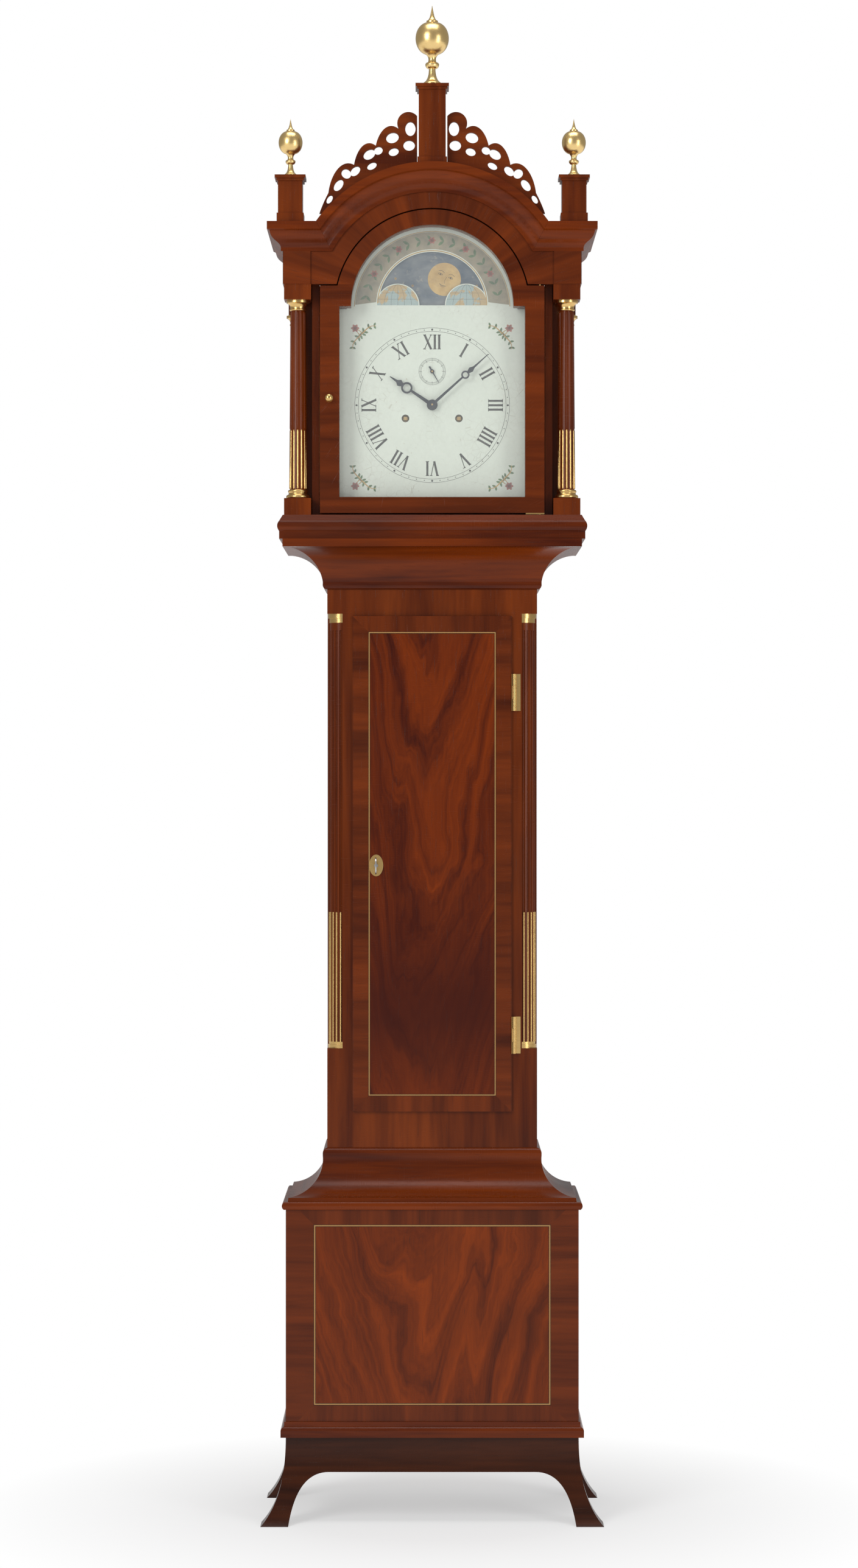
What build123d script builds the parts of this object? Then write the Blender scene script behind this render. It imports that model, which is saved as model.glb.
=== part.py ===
from build123d import *
from math import atan2, cos, pi, radians, sin, sqrt
import os

os.makedirs("parts", exist_ok=True)

# A longcase clock with an arched dial. Millimetres, Z up, the front faces -Y.
# The pieces are drawn from the middle of the movement, then set back by centering,
# which puts the origin on the floor under the middle of the whole width and depth.

# Heights of the case above the floor
foot_height = 133.0
base_top = 487.0
waist_bottom = 578.0
waist_top = 1456.0
throat_top = 1532.0
sill_height = 38.0
column_top = 1930.0
cornice_top = 2025.0

# Half widths and depths
back = 130.0
board = 12.0
back_board = 14.0
waist_half = 165.0
waist_front = -55.0
base_reach = 63.0
corner_post = 24.0
hood_half = 233.0
hood_front = -110.0
hood_gap = 0.3

# Dial, sight and movement
dial_z = 1745.0
arch_z = 1896.0
sight_half = 145.0
sight_radius = 127.0
sight_bottom = 1598.0
dial_half = 152.5
dial_front = -66.0
dial_thickness = 1.5
plate_front = -30.0
plate_gap = 55.0
plate_thickness = 2.5
plate_half = 60.0
arbor_radius = 1.5
running_fit = 0.05

base_half = waist_half + base_reach
base_front = waist_front - base_reach
foot_flare = 38.0
centering = (foot_flare - base_front - back) / 2
side_back = back - back_board
hood_bottom = throat_top + hood_gap
sill_top = throat_top + sill_height


# Shared shapes
def front(y):
    return Plane.XZ.offset(-y)


def block(x0, x1, y0, y1, z0, z1, mode=Mode.ADD):
    with Locations(((x0 + x1) / 2, (y0 + y1) / 2, (z0 + z1) / 2)):
        Box(x1 - x0, y1 - y0, z1 - z0, mode=mode)


def outline(steps, place):
    # Two points give a line, three an arc and four a curve with two handles.
    for step in steps:
        points = [place(a, b) for a, b in step]
        if len(points) == 2:
            Line(*points)
        elif len(points) == 3:
            ThreePointArc(*points)
        else:
            Bezier(*points)


def closed(points):
    return [(a, b) for a, b in zip(points, points[1:] + points[:1])]


def slab(plane, steps, depth):
    with BuildPart() as piece:
        with BuildSketch(plane):
            with BuildLine():
                outline(steps, lambda a, b: (a, b))
            make_face()
        extrude(amount=depth)
    return piece.part


def rod(radius, x, z, y0, y1):
    with BuildPart() as piece:
        with BuildSketch(front(y1)):
            with Locations((x, z)):
                Circle(radius)
        extrude(amount=y1 - y0)
    return piece.part


def turned(steps, x, y, z):
    # A profile of (radius, height) turned about an upright axis.
    with BuildPart() as piece:
        with BuildSketch(Plane((x, y, z), x_dir=(1, 0, 0), z_dir=(0, -1, 0))):
            with BuildLine():
                outline(steps, lambda a, b: (a, b))
            make_face()
        revolve(axis=Axis((x, y, z), (0, 0, 1)))
    return piece.part


def front_run(steps, half, wall, reach):
    # A moulding across the front, its ends cut for a mitre.
    far = half + reach
    with BuildPart() as run:
        with BuildSketch(Plane.YZ.offset(-far)):
            with BuildLine():
                outline(steps, lambda a, b: (wall - a, b))
            make_face()
        extrude(amount=2 * far)
        with BuildSketch():
            Polygon((-half, wall), (half, wall), (far, wall - reach), (-far, wall - reach), align=None)
        extrude(amount=3000, mode=Mode.INTERSECT)
    return run.part


def side_run(steps, half, wall, rear, reach, side):
    # A moulding along one side, back to the rear plane; side is 1 or -1.
    with BuildPart() as run:
        with BuildSketch(front(rear)):
            with BuildLine():
                outline(steps, lambda a, b: (side * (half + a), b))
            make_face()
        extrude(amount=rear - wall + reach)
        with BuildSketch():
            corner = side * half
            far = side * (half + reach)
            Polygon((corner, rear), (far, rear), (far, wall - reach), (corner, wall), align=None)
        extrude(amount=3000, mode=Mode.INTERSECT)
    return run.part


def moulding(steps, half, wall, rear, reach):
    pieces = [front_run(steps, half, wall, reach)]
    for side in (-1, 1):
        pieces.append(side_run(steps, half, wall, rear, reach, side))
    return pieces


def save(node, name):
    placed = node.part.moved(Location((0, centering, 0)))
    placed.label = name
    export_step(placed, "parts/" + name + ".step")


# Backboard, one board behind base, waist and hood
hood_back_half = 188.0
ear_z = sill_top + 3
with BuildPart() as backboard:
    with BuildSketch(front(back)):
        with BuildLine():
            Polyline(
                (-hood_back_half, arch_z), (-hood_back_half, ear_z), (-waist_half, ear_z),
                (-waist_half, base_top), (-base_half, base_top), (-base_half, foot_height),
                (base_half, foot_height), (base_half, base_top), (waist_half, base_top),
                (waist_half, ear_z), (hood_back_half, ear_z), (hood_back_half, arch_z))
            ThreePointArc((hood_back_half, arch_z), (0, arch_z + hood_back_half), (-hood_back_half, arch_z))
        make_face()
    extrude(amount=back_board)
save(backboard, "backboard")

# Base box
panel_thickness = 14.0
base_panel_back = base_front + panel_thickness
with BuildPart() as base_front_panel:
    block(-base_half, base_half, base_front, base_panel_back, foot_height, base_top)
save(base_front_panel, "base_front_panel")

with BuildPart() as base_sides:
    for side in (-1, 1):
        near = side * (base_half - board)
        far = side * base_half
        block(min(near, far), max(near, far), base_panel_back, side_back, foot_height, base_top)
save(base_sides, "base_sides")

# Base moulding, a bead and fillet where the feet begin
bead_height = 24.0
bead_reach = 8.0
bead_steps = [
    ((0, foot_height), (bead_reach, foot_height)),
    ((bead_reach, foot_height), (bead_reach, foot_height + 6)),
    ((bead_reach, foot_height + 6), (6.5, foot_height + 14), (2.5, foot_height + 17)),
    ((2.5, foot_height + 17), (2.5, foot_height + bead_height)),
    ((2.5, foot_height + bead_height), (0, foot_height + bead_height)),
    ((0, foot_height + bead_height), (0, foot_height)),
]
with BuildPart() as base_molding:
    for piece in moulding(bead_steps, base_half, base_front, back, bead_reach):
        add(piece)
save(base_molding, "base_molding")

# French feet, flared outwards, joined by a shaped apron on three sides
foot_board = 20.0
foot_width = 43.0
apron_z = 79.0
foot_curve = 62.0
foot_reach = foot_board + foot_flare
foot_steps = [
    ((0, foot_height), (foot_board, foot_height)),
    ((foot_board, foot_height), (foot_board, 78), (foot_board + 9, 30), (foot_reach, 0)),
    ((foot_reach, 0), (foot_reach - 22, 0)),
    ((foot_reach - 22, 0), (12, 34), (0, 66), (0, foot_height)),
]


def foot_gap(plane, start, end, depth):
    # The space between two feet, its ends curving up to the apron.
    steps = [
        ((start, -5), (start, 0)),
        ((start, 0), (start + 8, 50), (start + 28, apron_z), (start + foot_curve, apron_z)),
        ((start + foot_curve, apron_z), (end - foot_curve, apron_z)),
        ((end - foot_curve, apron_z), (end - 28, apron_z), (end - 8, 50), (end, 0)),
        ((end, 0), (end, -5)),
        ((end, -5), (start, -5)),
    ]
    return slab(plane, steps, depth)


inner_foot = base_half + foot_flare - foot_width
front_foot_inner = base_front - foot_flare + foot_width
foot_wall = base_front + foot_board
foot_half = base_half - foot_board
foot_front = front_run(foot_steps, foot_half, foot_wall, foot_reach)
foot_front -= foot_gap(front(foot_wall), -inner_foot, inner_foot, foot_reach)
foot_pieces = [foot_front]
for side in (-1, 1):
    foot_side = side_run(foot_steps, foot_half, foot_wall, back, foot_reach, side)
    edge = foot_half if side > 0 else -foot_half - foot_reach
    foot_side -= foot_gap(Plane.YZ.offset(edge), front_foot_inner, back - foot_width, foot_reach)
    foot_pieces.append(foot_side)
with BuildPart() as bracket_feet:
    for piece in foot_pieces:
        add(piece)
save(bracket_feet, "bracket_feet")

# Lower cove moulding, from the base out of the waist
lower_steps = [
    ((0, base_top), (base_reach + 3, base_top)),
    ((base_reach + 3, base_top), (base_reach + 6, base_top + 6), (base_reach + 3, base_top + 12)),
    ((base_reach + 3, base_top + 12), (base_reach - 3, base_top + 12)),
    ((base_reach - 3, base_top + 12), (base_reach - 4, base_top + 18)),
    ((base_reach - 4, base_top + 18), (24, base_top + 33), (7, waist_bottom - 12)),
    ((7, waist_bottom - 12), (7, waist_bottom - 8)),
    ((7, waist_bottom - 8), (4, waist_bottom - 2), (0, waist_bottom)),
    ((0, waist_bottom), (0, base_top)),
]
with BuildPart() as lower_cove_molding:
    for piece in moulding(lower_steps, waist_half, waist_front, back, base_reach + 8):
        add(piece)
save(lower_cove_molding, "lower_cove_molding")

# Waist sides, carried up inside the hood to hold the seat board
seat_bottom = dial_z - 100.0
seat_thickness = 20.0
post_back = waist_front + corner_post
with BuildPart() as waist_sides:
    for side in (-1, 1):
        near = side * (waist_half - board)
        far = side * waist_half
        block(min(near, far), max(near, far), post_back, side_back, base_top, seat_bottom)
save(waist_sides, "waist_sides")

# Waist front frame round the door's opening
post_inner = waist_half - corner_post
opening_half = 117.0
opening_bottom = 643.0
opening_top = 1406.0
frame_thickness = 20.0
key_x = -88.0
key_z = 1022.0
bolt_throw = 8.0
bolt_height = 12.0
bolt_thickness = 5.0
bolt_front = -50.5
mortise_gap = 0.5
with BuildPart() as waist_front_frame:
    rail_back = waist_front + frame_thickness
    for side in (-1, 1):
        ends = sorted((side * opening_half, side * post_inner))
        block(*ends, waist_front, post_back, base_top, throat_top)
        ends = sorted((side * (post_inner - board), side * (waist_half - board)))
        block(*ends, post_back, post_back + 20, base_top, throat_top)
    block(-opening_half, opening_half, waist_front, rail_back, base_top, opening_bottom)
    block(-opening_half, opening_half, waist_front, rail_back, opening_top, throat_top)
    block(
        -opening_half - bolt_throw - 2, -opening_half,
        bolt_front - mortise_gap, bolt_front + bolt_thickness + mortise_gap,
        key_z - bolt_height / 2 - mortise_gap, key_z + bolt_height / 2 + mortise_gap, mode=Mode.SUBTRACT)
save(waist_front_frame, "waist_front_frame")

# Fluted quarter columns between square blocks, with brass bases, caps and stop flutes
column_bottom = 744.0
column_head = 1404.0
mount_height = 10.0
cap_height = 14.0
quarter_radius = 21.0
flute_radius = 1.8
flute_count = 5
stop_top = 948.0


def quarter(radius, side, bottom, top):
    # A quarter cylinder in the waist's front corner.
    x = side * post_inner
    with BuildPart() as piece:
        with BuildSketch(Plane.XY.offset(bottom)):
            with Locations((x, post_back)):
                Circle(radius)
            corner = (x + side * corner_post / 2, post_back - corner_post / 2)
            with Locations(corner):
                Rectangle(corner_post, corner_post, mode=Mode.INTERSECT)
        extrude(amount=top - bottom)
    return piece.part


def flute_places(side):
    places = []
    for index in range(flute_count):
        angle = radians(90 * (index + 0.5) / flute_count)
        x = side * (post_inner + quarter_radius * cos(angle))
        places.append((x, post_back - quarter_radius * sin(angle)))
    return places


with BuildPart() as quarter_columns:
    for side in (-1, 1):
        ends = sorted((side * post_inner, side * waist_half))
        block(*ends, waist_front, post_back, base_top, column_bottom - mount_height)
        block(*ends, waist_front, post_back, column_head + cap_height, throat_top)
        add(quarter(quarter_radius, side, column_bottom, column_head))
        with BuildSketch(Plane.XY.offset(column_bottom)):
            with Locations(*flute_places(side)):
                Circle(flute_radius)
        extrude(amount=column_head - column_bottom - 12, mode=Mode.SUBTRACT)
save(quarter_columns, "quarter_columns")

with BuildPart() as quarter_column_mounts:
    for side in (-1, 1):
        add(quarter(quarter_radius + 2.5, side, column_bottom - mount_height, column_bottom - 4))
        add(quarter(quarter_radius + 1.2, side, column_bottom - 4, column_bottom))
        add(quarter(quarter_radius + 0.8, side, column_head, column_head + 7))
        add(quarter(quarter_radius + 2.8, side, column_head + 7, column_head + cap_height))
        with BuildSketch(Plane.XY.offset(column_bottom)):
            with Locations(*flute_places(side)):
                Circle(flute_radius - 0.4)
        extrude(amount=stop_top - column_bottom)
save(quarter_column_mounts, "quarter_column_mounts")

# Throat moulding, a cove that carries the hood
throat_reach = hood_half - waist_half
throat_steps = [
    ((0, waist_top), (5, waist_top + 2), (7, waist_top + 8)),
    ((7, waist_top + 8), (7, waist_top + 12)),
    ((7, waist_top + 12), (26, waist_top + 48), (throat_reach - 6, throat_top - 12)),
    ((throat_reach - 6, throat_top - 12), (throat_reach, throat_top - 12)),
    ((throat_reach, throat_top - 12), (throat_reach, throat_top)),
    ((throat_reach, throat_top), (0, throat_top)),
    ((0, throat_top), (0, waist_top)),
]
with BuildPart() as throat_molding:
    for piece in moulding(throat_steps, waist_half, waist_front, back, throat_reach):
        add(piece)
save(throat_molding, "throat_molding")

# Seat board with slots for the lines
seat_top = seat_bottom + seat_thickness
wheel_module = 0.9
great_teeth = 96
pinion_leaves = 8
barrel_x = 42.0
great_distance = wheel_module * (great_teeth + pinion_leaves) / 2
barrel_z = dial_z - sqrt(great_distance ** 2 - barrel_x ** 2)
barrel_radius = 22.0
line_radius = 0.8
line_y = 4.0
line_reach = barrel_radius + line_radius
pulley_pitch = 20.0
# Both lines leave the left of their barrels; each dead end is tied off on the pulley's far side.
line_starts = {"going": barrel_x - line_reach, "strike": -barrel_x - line_reach}
line_ends = {
    "going": line_starts["going"] + 2 * pulley_pitch,
    "strike": line_starts["strike"] - 2 * pulley_pitch,
}
with BuildPart() as seat_board:
    block(-waist_half, waist_half, -50, 45, seat_bottom, seat_top)
    with BuildSketch(Plane.XY.offset(seat_bottom)):
        with Locations(*[(x, line_y) for x in line_starts.values()]):
            SlotOverall(24, 12, rotation=90)
        with Locations(*[(x, line_y) for x in line_ends.values()]):
            Circle(2)
    extrude(amount=seat_thickness, mode=Mode.SUBTRACT)
save(seat_board, "seat_board")

# Waist door, lipped over the frame, its lock mortise open at the left edge
door_half = 125.0
door_bottom = 635.0
door_top = 1414.0
lip_back = -55.5
lip_front = -61.5
door_body_half = 115.5
door_back = -42.0
body_inset = 9.5
keyhole_radius = 1.85
with BuildPart() as waist_door:
    block(-door_half, door_half, lip_front, lip_back, door_bottom, door_top)
    body_ends = (door_bottom + body_inset, door_top - body_inset)
    block(-door_body_half, door_body_half, lip_back, door_back, *body_ends)
    block(
        -door_body_half, key_x + 14,
        bolt_front - mortise_gap, bolt_front + bolt_thickness + mortise_gap,
        key_z - bolt_height / 2 - mortise_gap, key_z + bolt_height / 2 + mortise_gap, mode=Mode.SUBTRACT)
    with BuildSketch(front(bolt_front)):
        with Locations((key_x, key_z)):
            Circle(keyhole_radius)
    extrude(amount=20, mode=Mode.SUBTRACT)
    chamfer(waist_door.edges().filter_by(Axis.Z).group_by(Axis.Y)[0], 2)
save(waist_door, "waist_door")

# Waist door's hinges, case leaves with the pin and door leaves with the middle knuckle
hinge_x = 129.0
hinge_y = -60.0
knuckle_radius = 2.8
leaf_thickness = 0.8
hinge_length = 58.0
knuckle_length = 18.0
pin_radius = 1.2
hinge_centers = (door_bottom + 120, door_top - 120)
with BuildPart() as waist_hinge_leaves:
    for z in hinge_centers:
        low = z - hinge_length / 2
        high = z + hinge_length / 2
        block(hinge_x, hinge_x + 10, waist_front - 1.2, waist_front, low, high)
        for start in (low, high - knuckle_length):
            with BuildSketch(Plane.XY.offset(start)):
                with Locations((hinge_x, hinge_y)):
                    Circle(knuckle_radius)
                with Locations((hinge_x + 1.2, (hinge_y + waist_front) / 2)):
                    Rectangle(2.4, waist_front - hinge_y)
            extrude(amount=knuckle_length)
        with BuildSketch(Plane.XY.offset(low)):
            with Locations((hinge_x, hinge_y)):
                Circle(pin_radius)
        extrude(amount=hinge_length)
save(waist_hinge_leaves, "waist_hinge_leaves")

with BuildPart() as waist_door_hinges:
    for z in hinge_centers:
        middle = hinge_length / 2 - knuckle_length - 0.4
        block(
            door_half, door_half + leaf_thickness, lip_front + 0.5, lip_back,
            z - hinge_length / 2, z + hinge_length / 2)
        with BuildSketch(Plane.XY.offset(z - middle)):
            with Locations((hinge_x, hinge_y)):
                Circle(knuckle_radius)
            with Locations(((door_half + hinge_x) / 2, hinge_y)):
                Rectangle(hinge_x - door_half, 1.6)
            with Locations((hinge_x, hinge_y)):
                Circle(pin_radius + running_fit, mode=Mode.SUBTRACT)
        extrude(amount=2 * middle)
save(waist_door_hinges, "waist_door_hinges")

with BuildPart() as escutcheon:
    with BuildSketch(front(lip_front)):
        with Locations((key_x, key_z)):
            Ellipse(11, 17)
            Circle(keyhole_radius + 0.4, mode=Mode.SUBTRACT)
    extrude(amount=1.5)
save(escutcheon, "escutcheon")

with BuildPart() as lock_bolt:
    bolt_tip = -door_body_half + 1
    block(
        bolt_tip, bolt_tip + 34, bolt_front, bolt_front + bolt_thickness,
        key_z - bolt_height / 2, key_z + bolt_height / 2)
save(lock_bolt, "lock_bolt")

key_front = lip_front - 34
with BuildPart() as waist_key:
    add(rod(keyhole_radius - running_fit, key_x, key_z, key_front, bolt_front - 1))
    with BuildSketch(front(lip_front - 14)):
        with Locations((key_x, key_z)):
            Circle(3)
    extrude(amount=2)
    with BuildSketch(Plane.YZ.offset(key_x - 1)):
        with Locations((key_front - 9, key_z)):
            Ellipse(10, 13)
            Ellipse(6.5, 9.5, mode=Mode.SUBTRACT)
    extrude(amount=2)
save(waist_key, "waist_key")

# Dial plate with an arch, the moon's opening, four feet and the moon's stud
dial_back = dial_front + dial_thickness
dial_arch = 134.0
moon_z = arch_z
moon_radius = 94.0
moon_opening = 84.0
hump_radius = 34.0
hump_x = 54.0
seconds_z = dial_z + 53.0
dial_feet = ((-54, dial_z + 35), (54, dial_z + 35), (-54, dial_z - 65), (54, dial_z - 65))
with BuildPart() as dial_plate:
    with BuildSketch(front(dial_back)):
        with BuildLine():
            Polyline(
                (-dial_arch, arch_z), (-dial_half, arch_z), (-dial_half, dial_z - dial_half),
                (dial_half, dial_z - dial_half), (dial_half, arch_z), (dial_arch, arch_z))
            ThreePointArc((dial_arch, arch_z), (0, arch_z + dial_arch), (-dial_arch, arch_z))
        make_face()
        with BuildLine():
            Line((-moon_opening, arch_z + 6), (moon_opening, arch_z + 6))
            ThreePointArc(
                (moon_opening, arch_z + 6), (0, arch_z + 6 + moon_opening),
                (-moon_opening, arch_z + 6))
        make_face(mode=Mode.SUBTRACT)
        with Locations((-hump_x, arch_z + 6), (hump_x, arch_z + 6)):
            Circle(hump_radius)
        with Locations((0, dial_z)):
            Circle(7, mode=Mode.SUBTRACT)
        with Locations((0, seconds_z)):
            Circle(2.5, mode=Mode.SUBTRACT)
        with Locations((-barrel_x, barrel_z), (barrel_x, barrel_z)):
            Circle(6, mode=Mode.SUBTRACT)
    extrude(amount=dial_thickness)
    for x, z in dial_feet:
        add(rod(3, x, z, dial_back, plate_front))
    add(rod(2, 0, moon_z, dial_back, dial_back + 6))
save(dial_plate, "dial_plate")

# Movement plates with the back cock and the minute wheel's stud
front_plate_back = plate_front + plate_thickness
rear_plate_front = front_plate_back + plate_gap
rear_plate_back = rear_plate_front + plate_thickness
pallet_z = dial_z + 82.0
plate_top = dial_z + 96.0
third_distance = 0.9 * (60 + 8) / 2
escape_distance = 0.8 * (56 + 7) / 2
third_rise = (third_distance ** 2 - escape_distance ** 2 + 53.0 ** 2) / (2 * 53.0)
third_x = -sqrt(third_distance ** 2 - third_rise ** 2)
third_z = dial_z + third_rise
minute_module = 0.9
minute_teeth = 36
minute_wheel_z = dial_z - minute_module * minute_teeth
hammer_x = -55.0
hammer_z = dial_z + 55.0
cock_plate = 50.0
pendulum_y = 62.0
hung_pin = 1.5
stud_radius = 1.0
arbor_places = [(0, dial_z), (third_x, third_z), (0, seconds_z), (0, pallet_z), (hammer_x, hammer_z)]
with BuildPart() as movement_plates:
    for y, winding in ((front_plate_back, 4 + running_fit), (rear_plate_back, 2 + running_fit)):
        with BuildSketch(front(y)):
            with Locations((0, (seat_top + plate_top) / 2)):
                Rectangle(2 * plate_half, plate_top - seat_top)
            with Locations(*arbor_places):
                Circle(arbor_radius + running_fit, mode=Mode.SUBTRACT)
            with Locations((-barrel_x, barrel_z), (barrel_x, barrel_z)):
                Circle(winding, mode=Mode.SUBTRACT)
        extrude(amount=plate_thickness)
    add(rod(stud_radius, 0, minute_wheel_z, plate_front - 14, plate_front))
    for side in (-1, 1):
        ends = sorted((side * 14, side * 18))
        block(*ends, rear_plate_back, cock_plate + 3, pallet_z - 7, pallet_z + 7)
    block(-18, 18, cock_plate, cock_plate + 3, pallet_z - 7, pallet_z + 7)
    with BuildSketch(front(cock_plate + 1.5)):
        with Locations((0, pallet_z)):
            Circle(arbor_radius + running_fit)
    extrude(amount=1.5, mode=Mode.SUBTRACT)
    add(rod(hung_pin, 0, pallet_z, cock_plate + 2, pendulum_y + 6))
save(movement_plates, "movement_plates")

pillar_places = [(-46, seat_top + 8), (46, seat_top + 8), (-38, plate_top - 8), (38, plate_top - 8)]
with BuildPart() as plate_pillars:
    for x, z in pillar_places:
        add(rod(4, x, z, front_plate_back, rear_plate_front))
        add(rod(6, x, z, -3, 3))
save(plate_pillars, "plate_pillars")

# Bell on its stand, across the top of the plates
bell_radius = 42.0
bell_rim = plate_top + 26.0
bell_wall = 3.0
bell_steps = [
    ((bell_radius, 0), (bell_radius * 0.72, bell_radius * 0.7), (0, bell_radius)),
    ((0, bell_radius), (0, bell_radius - bell_wall)),
    ((0, bell_radius - bell_wall), (bell_radius * 0.66, bell_radius * 0.64), (bell_radius - bell_wall, 0)),
    ((bell_radius - bell_wall, 0), (bell_radius, 0)),
]
with BuildPart() as bell:
    block(-7, 7, plate_front, rear_plate_back, plate_top, plate_top + 5)
    with BuildSketch(Plane.XY.offset(plate_top + 5)):
        Circle(2.5)
    extrude(amount=bell_rim + bell_radius + 4 - plate_top - 5)
    add(turned(bell_steps, 0, 0, bell_rim))
save(bell, "bell")

with BuildPart() as bell_hammer:
    add(rod(arbor_radius, hammer_x, hammer_z, plate_front, rear_plate_back))
    add(rod(4, hammer_x, hammer_z, -3, 3))
    head_z = bell_rim + 4
    arm = closed([(hammer_x - 1.2, hammer_z), (hammer_x + 1.2, hammer_z), (-50, head_z), (-52.4, head_z)])
    add(slab(front(1.2), arm, 2.4))
    with BuildSketch(Plane.YZ.offset(-57)):
        with Locations((0, head_z)):
            Circle(5)
    extrude(amount=12)
save(bell_hammer, "bell_hammer")

# Hood sill, a frame open at the back, with a rounded front edge
sill_inner = waist_half + 5
sill_front_inner = waist_front - 2
nose_reach = 8.5
nose_steps = [
    ((0, hood_bottom), (nose_reach - 3, hood_bottom)),
    ((nose_reach - 3, hood_bottom), (nose_reach - 3, hood_bottom + 12)),
    ((nose_reach - 3, hood_bottom + 12), (nose_reach, hood_bottom + 20), (nose_reach - 3, hood_bottom + 28)),
    ((nose_reach - 3, hood_bottom + 28), (0, sill_top)),
    ((0, sill_top), (0, hood_bottom)),
]
pivot_x = 168.0
pivot_y = -99.0
pivot_radius = 2.0
side_end = back - 2
with BuildPart() as hood_sill:
    block(-hood_half, hood_half, hood_front, sill_front_inner, hood_bottom, sill_top)
    for side in (-1, 1):
        ends = sorted((side * sill_inner, side * hood_half))
        block(*ends, sill_front_inner, side_end, hood_bottom, sill_top)
    for piece in moulding(nose_steps, hood_half, hood_front, side_end, nose_reach):
        add(piece)
    with BuildSketch(Plane.XY.offset(sill_top)):
        with Locations((pivot_x, pivot_y)):
            Circle(pivot_radius + running_fit)
    extrude(amount=-8, mode=Mode.SUBTRACT)
save(hood_sill, "hood_sill")

# Hood sides with arched windows, each turned in at the front behind its column
side_outer = 217.0
side_inner = 203.0
stile_outer = 188.0
stile_inner = 177.0
stile_front = -84.0
return_front = -62.0
return_back = -50.0
window_front = -20.0
window_rear = 84.0
window_bottom = 1632.0
window_spring = 1836.0
window_mid = (window_front + window_rear) / 2
window_radius = (window_rear - window_front) / 2


def window(x, depth):
    steps = [
        ((window_front, window_spring), (window_front, window_bottom)),
        ((window_front, window_bottom), (window_rear, window_bottom)),
        ((window_rear, window_bottom), (window_rear, window_spring)),
        (
            (window_rear, window_spring), (window_mid, window_spring + window_radius),
            (window_front, window_spring)),
    ]
    return slab(Plane.YZ.offset(x), steps, depth)


with BuildPart() as hood_sides:
    for side in (-1, 1):
        near = min(side * side_inner, side * side_outer)
        block(near, near + board + 2, return_front, side_end, sill_top, column_top)
        block(near, near + board + 2, return_back, side_end, column_top, cornice_top)
        ends = sorted((side * stile_inner, side * side_inner))
        block(*ends, return_front, return_back, sill_top, column_top)
        ends = sorted((side * stile_inner, side * stile_outer))
        block(*ends, stile_front, return_front, sill_top, column_top)
        add(window(near - 1, board + 4), mode=Mode.SUBTRACT)
save(hood_sides, "hood_sides")

pane = 2.5
with BuildPart() as hood_side_glass:
    for side in (-1, 1):
        add(window(side * (side_inner + side_outer) / 2 - pane / 2, pane))
save(hood_side_glass, "hood_side_glass")

# Tympanum over the hood door, with its frieze, side friezes and soffits
tympanum_front = -108.0
tympanum_back = -90.0
door_arch = 151.0
arch_clear = 2.0
cornice_bottom = 1981.0
cornice_arch = 222.0
tympanum_arch = cornice_arch - 4
frieze_top = cornice_top - 4
shoulder_x = sqrt(tympanum_arch ** 2 - (frieze_top - arch_z) ** 2)
opening_x = sqrt((door_arch + arch_clear) ** 2 - (column_top - arch_z) ** 2)
with BuildPart() as hood_tympanum:
    with BuildSketch(front(tympanum_back)):
        with BuildLine():
            Polyline(
                (-shoulder_x, frieze_top), (-hood_half, frieze_top), (-hood_half, column_top),
                (-opening_x, column_top))
            ThreePointArc(
                (-opening_x, column_top), (0, arch_z + door_arch + arch_clear), (opening_x, column_top))
            Polyline(
                (opening_x, column_top), (hood_half, column_top), (hood_half, frieze_top),
                (shoulder_x, frieze_top))
            ThreePointArc((shoulder_x, frieze_top), (0, arch_z + tympanum_arch), (-shoulder_x, frieze_top))
        make_face()
    extrude(amount=tympanum_back - tympanum_front)
    for side in (-1, 1):
        ends = sorted((side * side_outer, side * hood_half))
        block(*ends, tympanum_back, side_end, column_top, frieze_top)
        ends = sorted((side * stile_inner, side * side_outer))
        block(*ends, tympanum_back, return_back, column_top, column_top + 10)
        ends = sorted((side * (hood_half - 43), side * (hood_half - 1)))
        block(*ends, hood_front - 1, tympanum_front, column_top, cornice_bottom)
    with BuildSketch(Plane.XY.offset(column_top)):
        with Locations((pivot_x, pivot_y)):
            Circle(pivot_radius + running_fit)
    extrude(amount=8, mode=Mode.SUBTRACT)
save(hood_tympanum, "hood_tympanum")

# Cornice, level over the shoulders and sides and arched over the door
cornice_reach = 24.0
cornice_steps = [
    ((0, 0), (3, 0)),
    ((3, 0), (3, 5)),
    ((3, 5), (4, 16), (18, 14), (20, 30)),
    ((20, 30), (cornice_reach, 32)),
    ((cornice_reach, 32), (cornice_reach, cornice_top - cornice_bottom)),
    ((cornice_reach, cornice_top - cornice_bottom), (0, cornice_top - cornice_bottom)),
    ((0, cornice_top - cornice_bottom), (0, 0)),
]
level_steps = [tuple((a, b + cornice_bottom) for a, b in step) for step in cornice_steps]
arch_inner = cornice_arch - (cornice_top - cornice_bottom)
mitre_low = sqrt(arch_inner ** 2 - (cornice_bottom - arch_z) ** 2)
mitre_high = sqrt(cornice_arch ** 2 - (cornice_top - arch_z) ** 2)
mitre_joint = 0.2
with BuildPart() as arch_molding:
    with BuildSketch(Plane.YZ):
        with BuildLine():
            outline(cornice_steps, lambda a, b: (tympanum_front - a, arch_z + arch_inner + b))
        make_face()
    revolve(axis=Axis((0, 0, arch_z), (0, 1, 0)))
    with BuildSketch(front(0)):
        Polygon(
            (-mitre_low, cornice_bottom), (-mitre_high, cornice_top), (-mitre_high - 100, cornice_top + 200),
            (mitre_high + 100, cornice_top + 200), (mitre_high, cornice_top), (mitre_low, cornice_bottom),
            align=None)
    extrude(amount=200, mode=Mode.INTERSECT)
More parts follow.
